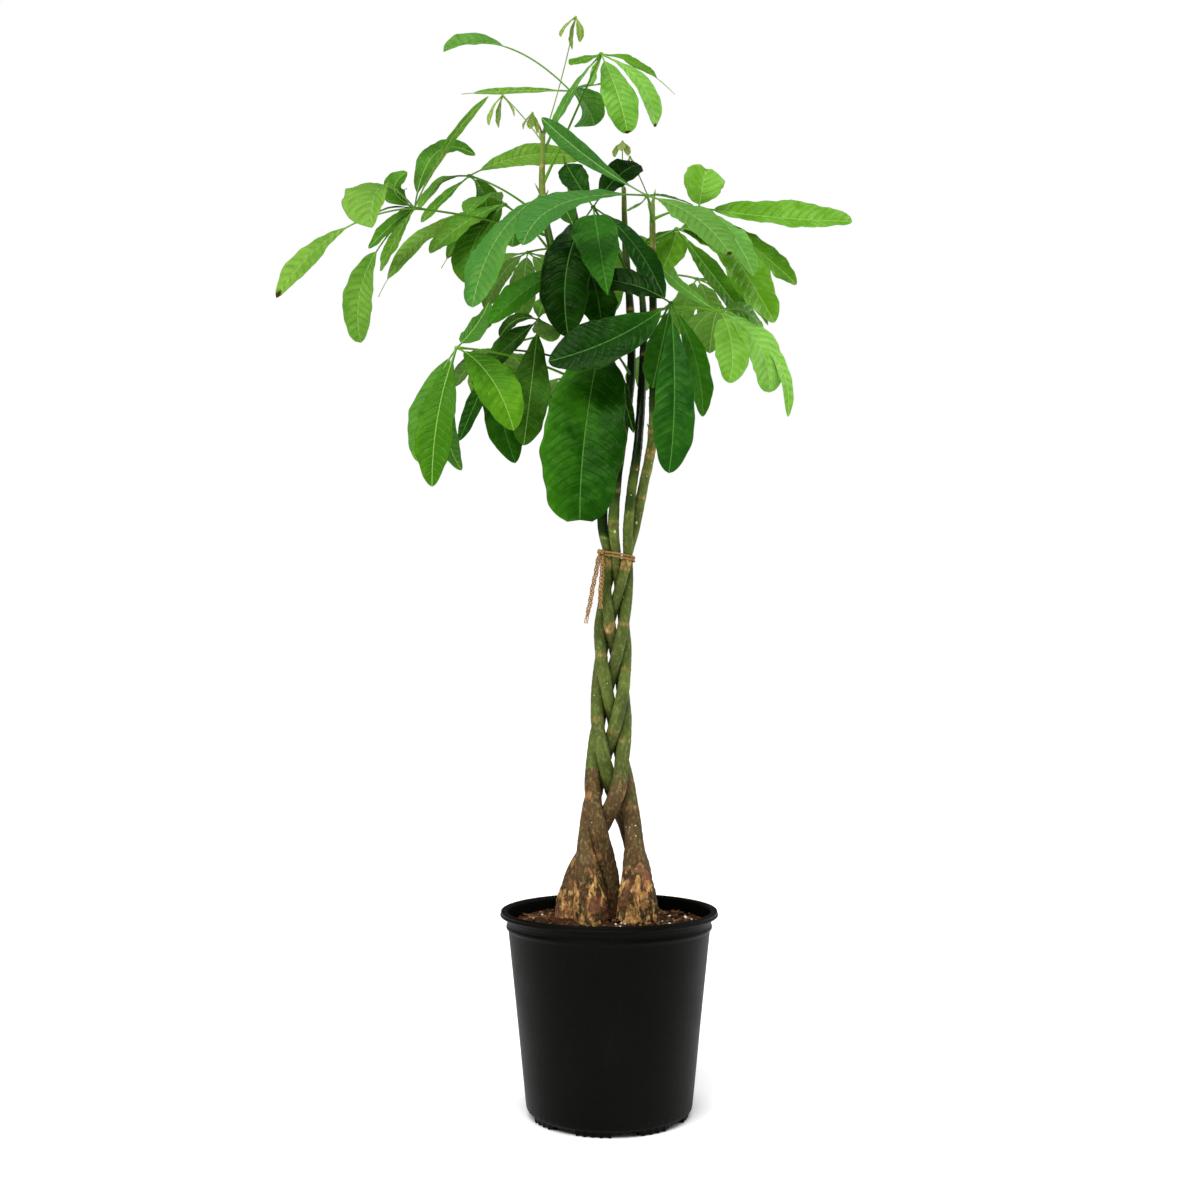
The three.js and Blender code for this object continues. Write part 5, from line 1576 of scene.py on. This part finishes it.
@dataclass
class Pot:
    """The grower's pot: tapered wall, banded lip, ribbed foot ring with eight drain slots."""

    height: float = 248.0
    lip_radius: float = 135.0
    lip_height: float = 8.0
    band_radius: float = 127.5
    band_height: float = 16.0
    shoulder_radius: float = 125.0
    base_radius: float = 102.0
    wall: float = 2.0
    foot_height: float = 9.0
    foot_outer: float = 98.0
    foot_inner: float = 88.0
    floor_height: float = 5.0
    pad_radius: float = 18.0
    columns: int = 480
    ribs: int = 60
    rib_depth: float = 1.6
    slots: int = 8
    slot_width: float = 34.0
    slot_height: float = 6.0
    slot_offset: float = 11.0

    def profile(self) -> np.ndarray:
        """The outline that is turned, as pairs of radius and height, with its corners cut round.

        Each round of Chaikin's rule replaces a corner by points at 1/4 and 3/4 of its sides.
        A corner that is given twice stays sharper.

        Returns:
            The pairs from the middle of the underside to the middle of the floor inside.
        """
        top, lip = self.height, self.height - self.lip_height
        band = lip - self.band_height
        wide, mid, shoulder, base = self.lip_radius, self.band_radius, self.shoulder_radius, self.base_radius
        inside, foot, deep = mid - self.wall, self.foot_height, self.floor_height
        corners = np.array([
            (0, 0), (self.pad_radius, 0), (self.pad_radius + 1, deep), (self.foot_inner - 1, deep),
            (self.foot_inner, 0), (self.foot_inner + 1, 0), (self.foot_outer - 1, 0), (self.foot_outer, 0.6),
            (self.foot_outer + 0.6, foot - 2.5), (base - 0.6, foot - 0.5), (base + 0.6, foot + 3),
            (shoulder - 12, band - 110), (shoulder - 0.4, band - 3), (shoulder + 0.2, band),
            (mid - 0.3, band + 2), (mid, band + 3), (mid, band + 5), (mid - 0.9, band + 6.2),
            (mid - 0.9, lip - 5), (mid, lip - 3.4), (mid + 0.4, lip - 0.6),
            (wide - 1.2, lip + 0.4), (wide, lip + 1.6), (wide, lip + 3),
            (wide - 0.9, lip + 4), (wide - 0.7, lip + 6.6), (wide - 2.2, top), (wide - 5, top),
            (inside + 1.6, top - 1), (inside, top - 3), (inside, lip - 4), (inside, band + 3),
            (inside - 2.0, band + 0.5), (shoulder - self.wall, band), (shoulder - self.wall - 1, band - 12),
            (base - self.wall, foot + 1), (base - self.wall - 3, foot), (0, foot),
        ], float)
        for _ in range(2):
            near, far = corners[:-1] * 0.75 + corners[1:] * 0.25, corners[:-1] * 0.25 + corners[1:] * 0.75
            cut = np.stack([near, far], 1).reshape(-1, 2)
            corners = np.vstack([corners[:1], cut[1:-1], corners[-1:]])
        return corners

    def build(self) -> None:
        """Turns the outline, lifts it over the drain slots and ribs its foot.

        A point's height is the greater of its own and the slot's, and near the floor the
        foot ring's outer side goes in and out as 1 - cos(60 a).
        """
        outline = self.profile()[1:-1]
        angle = turn_angles(self.columns)
        r = np.repeat(outline[:, :1], self.columns, 1)
        z = np.repeat(outline[:, 1:], self.columns, 1)
        on_ring = (r > self.foot_inner - 0.6) & (z < self.slot_height)
        slot_angles = math.radians(self.slot_offset - 90) + turn_angles(self.slots)
        off = np.abs((angle[:, None] - slot_angles + math.pi) % FULL_TURN - math.pi).min(1)
        in_slot = off * self.foot_outer < self.slot_width / 2
        low_outside = (r > self.foot_inner + 4) & (z < self.foot_height + 2.5)
        wave = 0.5 - 0.5 * np.cos(self.ribs * angle)
        r = np.where(low_outside, r - self.rib_depth * wave * (1 - z / (self.foot_height + 3)), r)
        z = z + np.where(low_outside, (1 - smooth_step(0, 3, z)) * 1.3 * wave, 0)
        z = np.where(on_ring & in_slot, np.maximum(z, self.slot_height - 0.2 * (r - self.foot_inner) / 10), z)
        r = r * (1 + 0.0016 * np.sin(2 * angle + 0.6) * smooth_step(60, 240, z))
        shape = Shape()
        shape.add_closed(polar(r, angle, z))
        shape.make("pot_shell", Slot.POT, "pot")


@dataclass
class Soil:
    """Potting mix that fills the pot to below its lip, with chips, fibres and perlite on it."""

    top: float = 230.0
    radius: float = 122.6
    bottom_radius: float = 99.0
    bottom: float = 9.6
    relief: float = 2.2
    mound: float = 5.0
    mound_radius: float = 75.0
    columns: int = 220
    rings: int = 64
    chips: int = 900
    fibres: int = 170
    grains: int = 46
    white_grains: Sequence[Point] = (
        (-88, -46), (-62, -70), (-84, 36), (88, -40), (-98, -30), (74, -66), (96, 20))

    def from_feet(self, points: np.ndarray) -> np.ndarray:
        """How far points are from each stem's middle, in its foot radius, and that radius in mm."""
        feet = np.array([(*stem.foot, stem.foot_radius) for stem in STEMS.values()])
        return np.hypot(points[..., :1] - feet[:, 0], points[..., 1:2] - feet[:, 1]), feet[:, 2]

    def level(self, points: np.ndarray) -> np.ndarray:
        """The soil's height: waves, a low mound in the middle, fine lumps and a rise at each foot.

        Args:
            points: places, of which only x and y count.

        Returns:
            Heights in mm.
        """
        flat = points * [1, 1, 0]
        x, y = flat[..., 0], flat[..., 1]
        waves = np.sin(x * 0.11 + 1.3) * np.cos(y * 0.13) + 0.6 * np.sin(x * 0.23 - y * 0.19)
        lumps = 0.9 * ripple(flat, 14, 301) + 0.6 * ripple(flat, 5.5, 302)
        off, foot_radius = self.from_feet(flat)
        rise = (3.2 * np.exp(-(np.maximum(off - foot_radius, 0) / 7) ** 2)).sum(-1)
        mound = self.mound * np.exp(-(x * x + y * y) / self.mound_radius ** 2)
        edge = smooth_step(self.radius, self.radius - 14, np.hypot(x, y))
        return self.top + self.relief * waves + mound + (lumps + rise) * (0.35 + 0.65 * edge)

    def build(self) -> None:
        """Makes the bed: a polar grid on top, carried down the wall and closed below."""
        angle = turn_angles(self.columns)
        top = polar(self.radius * np.linspace(1, 0.01, self.rings)[:, None], angle)
        top[..., 2] = self.level(top)
        low = [polar(radius, angle, z) for radius, z in (
            (4, self.bottom), (self.bottom_radius - 4, self.bottom), (self.bottom_radius, self.bottom + 6))]
        shape = Shape("bits")
        shape.add_closed(np.concatenate([low, top]))
        shape.make("soil_bed", Slot.SOIL, "soil")
        self.strew()
        self.lay_fibres()

    def places(self, count: int, rng: np.random.Generator, lift: float) -> np.ndarray:
        """Random points on the soil that keep off the stems' feet.

        Args:
            count: how many.
            rng: the source of the places.
            lift: how far above the soil they are.

        Returns:
            The points.
        """
        tries = count * 3
        radius = (self.radius - 2.5) * np.sqrt(rng.uniform(0, 1, tries))
        spots = polar(radius, rng.uniform(0, FULL_TURN, tries))
        off, foot_radius = self.from_feet(spots)
        spots = spots[(off > foot_radius * 0.93).all(-1)][:count]
        spots[:, 2] = self.level(spots) + lift
        return spots

    def strew(self) -> None:
        """Strews bark chips and white grains over the bed."""
        rng = np.random.default_rng(77)
        shape = Shape("bits")
        box = np.array([(a, b, c) for a in (-1, 1) for b in (-1, 1) for c in (-1, 1)], float)
        box[:, 0] *= 1 + 0.35 * box[:, 2]
        box[:, 1] *= 1 - 0.3 * box[:, 0]
        sides = np.array([(0, 1, 3, 2), (4, 6, 7, 5), (0, 4, 5, 1), (2, 3, 7, 6), (0, 2, 6, 4), (1, 5, 7, 3)])
        spots = self.places(self.chips, rng, 0.6)
        n = len(spots)
        sizes = triples(rng.uniform(1, 5, n), rng.uniform(0.6, 2, n), rng.uniform(0.3, 1.1, n))
        tint = triples(rng.uniform(0.06, 0.75, n) ** 1.2, 0, 0)
        halves = np.concatenate([sides[:, [0, 1, 2]], sides[:, [0, 2, 3]]])
        shape.scatter((box, halves), spots, random_turns(n, rng, 0.6), sizes, bits=tint)
        ball, faces = pebble()
        ball = ball * (1 + 0.16 * ripple(ball * 10, 9, 5))[:, None]
        spots = self.places(self.grains, rng, 0.9)
        by_hand = np.array([(x, y, 0) for x, y in self.white_grains], float)
        by_hand[:, 2] = self.level(by_hand) + 1.2
        spots = np.vstack([spots, by_hand])
        n = len(spots)
        sizes = rng.uniform(0.8, 2.2, (n, 1)) * rng.uniform(0.75, 1.2, (n, 3))
        sizes[-len(by_hand):] *= 1.3
        shape.scatter((ball, faces), spots, random_turns(n, rng, 1.5), sizes,
                      bits=np.tile([0.5, 1, 0], (n, 1)))
        shape.make("soil_litter", Slot.SOIL, flat=True)

    def lay_fibres(self) -> None:
        """Lays thin curved fibres over the bed: each a bent tube of four sides."""
        rng = np.random.default_rng(78)
        shape = Shape("bits")
        share = np.linspace(-0.5, 0.5, 7)[:, None]
        for spot in self.places(self.fibres, rng, 1.0):
            way = rng.uniform(0, FULL_TURN)
            along = polar(1, way, rng.normal(0, 0.2))
            side = polar(1, way + math.pi / 2)
            length, bow, radius = rng.uniform(7, 24), rng.normal(0, 0.18), rng.uniform(0.18, 0.42)
            path = spot + along * share * length + side * (share ** 2 - 0.1) * bow * length * 2
            path[:, :2] *= np.minimum(1, (self.radius - 1.5) / np.hypot(path[:, 0], path[:, 1]))[:, None]
            path[:, 2] = np.maximum(path[:, 2], self.level(path) + 0.2)
            grid = tube(path, radius * (1 - 1.6 * (share[:, 0] ** 2)), 4, (0, 0, 1))
            shape.add_closed(grid, bits=(rng.uniform(0.35, 1.0), 0, 0))
        shape.make("soil_fibres", Slot.SOIL)


# Twine


@dataclass
class Tail:
    """A free end of the twine: a loose flat plait of three strands that frays at its end."""

    name: str
    route: list[Point]
    frayed: float
    diameter: float = 3.0
    strand_radius: float = 0.95
    pitch: float = 15.0
    side: float = 2.05
    depth: float = 0.8
    sides: int = 8

    def build(self) -> None:
        """Strand k stands off the route by side sin(b) across and depth sin(2b) outwards, with
        b = 2 pi (way / pitch + k / 3). Over the frayed end the strands spread.
        """
        line, centre = smooth_curve(self.route, 4), smooth_curve(self.route, 24)
        way = ways(centre)
        across, other = frames(centre, (1, 0, 0))
        shape = Shape("yarn")
        loose = smooth_step(way[-1] - self.frayed, way[-1], way)
        for strand in range(3):
            turn = FULL_TURN * (way / self.pitch + strand / 3)
            wander = 1 + 0.18 * np.sin(way * 0.9 + strand * 2)
            x = self.side * np.sin(turn) * wander * (1 - loose) + loose * (strand - 1) * 1.9
            y = self.depth * np.sin(2 * turn) + 0.25 * loose * math.cos(strand)
            path = centre + across * x[:, None] + other * y[:, None]
            radii = self.strand_radius * (1 + 0.12 * np.sin(way * 2.4 + strand)) * (1 - 0.4 * loose)
            shape.add_closed(tube(path, radii, self.sides, (0.3, 1, 0)),
                             yarn=triples(way[:, None], np.arange(self.sides) / self.sides, loose[:, None]))
        piece = shape.make(f"{self.name}_yarn", Slot.TWINE, self.name)


TAILS = [
    Tail("twine_tail_long", [(-12.4, -8.8, 687.4), (-14, -13, 681), (-15, -17, 674), (-16.6, -20.4, 665),
                             (-18.6, -22.4, 656), (-20.5, -23.5, 647), (-22, -24, 638), (-23.5, -24, 629),
                             (-25.5, -24, 620), (-27.5, -24, 611), (-29, -24, 602)], 16),
    Tail("twine_tail_short", [(-9, -9.8, 687.4), (-8.6, -14.4, 680), (-8.6, -18, 673), (-9, -21, 664),
                              (-9.8, -23.2, 655), (-10.6, -24.5, 646), (-11, -25, 637), (-11, -25, 628),
                              (-10.5, -25, 620)], 12),
]


@dataclass
class Tie:
    """Two turns of twine round the stems, and the knot that holds them."""

    heights: Sequence[float] = (686.6, 690.2)
    centre_x: float = 12.0
    tilt: float = 0.2
    slack: float = 0.4
    gap: float = 0.35
    stem_radius: float = 5.9
    twine_radius: float = 1.5
    lay: float = 7.0
    knot: Point = (-10.5, -6.5, 692.0)
    knot_size: Point = (4.8, 4.0, 6.2)
    sides: int = 9

    def turn(self, height: float) -> np.ndarray:
        """One turn's closed line: in each direction it lies on the stem that stands out most.

        Args:
            height: where it lies on the stems.

        Returns:
            The points of the line.
        """
        reach = self.stem_radius + self.gap + self.twine_radius + self.slack
        centres = np.array([stem.point_at(height) for stem in STEMS.values()])
        out = polar(1, turn_angles(16))
        points = centres[(out @ centres.T).argmax(1)] + out * reach
        points[:, 2] = height - self.tilt * (points[:, 0] - self.centre_x)
        return smooth_curve(np.vstack([points[-2:], points, points[:3]]), 10)[20:180]

    def add_loop(self, shape: Shape, loop: np.ndarray, radius: float, reference: Point,
                 way: np.ndarray) -> None:
        """Adds a closed round cord.

        Args:
            shape: the tie's shape.
            loop: the closed line.
            radius: its radius.
            reference: a direction that the line never runs in, or one for each point.
            way: how far along its yarn each point is, in mm.
        """
        yarn = triples(way[:, None], np.arange(self.sides) / self.sides, 0.0)
        skin = tube(loop, radius, self.sides, reference, True)
        shape.add(skin, grid_quads(len(loop), self.sides, True), yarn=yarn)

    def add_twisted(self, shape: Shape, path: np.ndarray) -> None:
        """Adds a closed two-ply cord: each ply winds about the line at 0.45 of the radius.

        Args:
            shape: the tie's shape.
            path: the closed line.
        """
        way = ways(path)
        whole = way[-1] + np.linalg.norm(path[0] - path[-1])
        twist = FULL_TURN * way / whole * round(whole / self.lay)
        across, other = frames(path, (0, 0, 1), True)
        for ply in (0, math.pi):
            off = across * np.cos(twist + ply)[:, None] + other * np.sin(twist + ply)[:, None]
            ply_line = path + off * self.twine_radius * 0.45
            self.add_loop(shape, ply_line, self.twine_radius * 0.6, (0, 0, 1), way)

    def build(self) -> None:
        """Winds the two turns and ties the knot, a trefoil squeezed into its box.

        The trefoil is ((sin t + 2 sin 2t) / 3, -0.8 sin 3t, (cos t - 2 cos 2t) / 3), once as it
        is and once with x and y exchanged.
        """
        shape = Shape("yarn")
        for height in self.heights:
            self.add_twisted(shape, self.turn(height))
        t = turn_angles(120)
        trefoil = triples((np.sin(t) + 2 * np.sin(2 * t)) / 3, -np.sin(3 * t) * 0.8,
                          (np.cos(t) - 2 * np.cos(2 * t)) / 3)
        middle, size = np.array(self.knot), np.array(self.knot_size)
        for loop, radius in ((middle + trefoil * (size - 1.1), 1.25),
                             (middle + trefoil[:, [1, 0, 2]] * (size - 1.6) * 0.8, 1.2)):
            away = loop - loop.mean(0) + [0.01, 0.02, 0.03]
            self.add_loop(shape, loop, radius, away, np.linspace(0, 40, len(loop)))
        shape.make("twine_tie_yarn", Slot.TWINE, "twine_tie")


@dataclass
class Fuzz:
    """Fine loose fibres that stand off the twine."""

    count: int = 90
    radius: float = 0.11

    def build(self, tie: Tie) -> None:
        """Makes each fibre as a thin bent tube that starts in the tie or in a tail.

        Args:
            tie: the tie.
        """
        rng = np.random.default_rng(5)
        lines = [smooth_curve(tail.route, 6) for tail in TAILS] * 3 + [tie.turn(tie.heights[0])]
        shape = Shape("yarn")
        share = np.linspace(0, 1, 5)
        for _ in range(self.count):
            line = lines[rng.integers(len(lines))]
            root = line[rng.integers(len(line))]
            way = unit(rng.normal(size=3) * [1, 1, 0.7] + [0, -0.4, -0.3])
            length = rng.uniform(2.0, 5.0)
            path = root + np.outer(share, way) * length + triples(0, 0, -0.25 * length * share ** 2)
            grid = tube(path, self.radius * (1 - 0.6 * share), 4, unit(np.cross(way, (0.2, 0.3, 1))))
            shape.add_closed(grid, yarn=(0.4, 0.2, rng.uniform(0.3, 1)))
        shape.make("twine_fuzz", Slot.TWINE)


@dataclass
class MoneyTree:
    """The whole plant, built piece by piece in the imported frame."""

    tie: Tie = field(default_factory=Tie)
    pot: Pot = field(default_factory=Pot)
    soil: Soil = field(default_factory=Soil)

    def build(self) -> None:
        """Makes the cords first, then the tie, pot, soil, stems and leaves."""
        for tail in TAILS:
            tail.build()
        self.tie.build()
        Fuzz().build(self.tie)
        self.pot.build()
        self.soil.build()
        for stem in STEMS.values():
            stem.build()
        stubs = Shape("bark")
        for stub in STUBS:
            stub.add_to(stubs)
        stubs.make("stem_stubs", Slot.BARK)
        for leaf in [*LEAVES, *(fan.leaf() for fan in FANS), *(bud.leaf() for bud in BUDS)]:
            leaf.build()


def main() -> None:
    """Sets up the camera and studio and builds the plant."""
    logging.basicConfig(level=logging.INFO, format="%(name)s: %(message)s")
    Camera().build()
    MoneyTree().build()
    Studio().build()


if __name__ == "__main__":
    main()
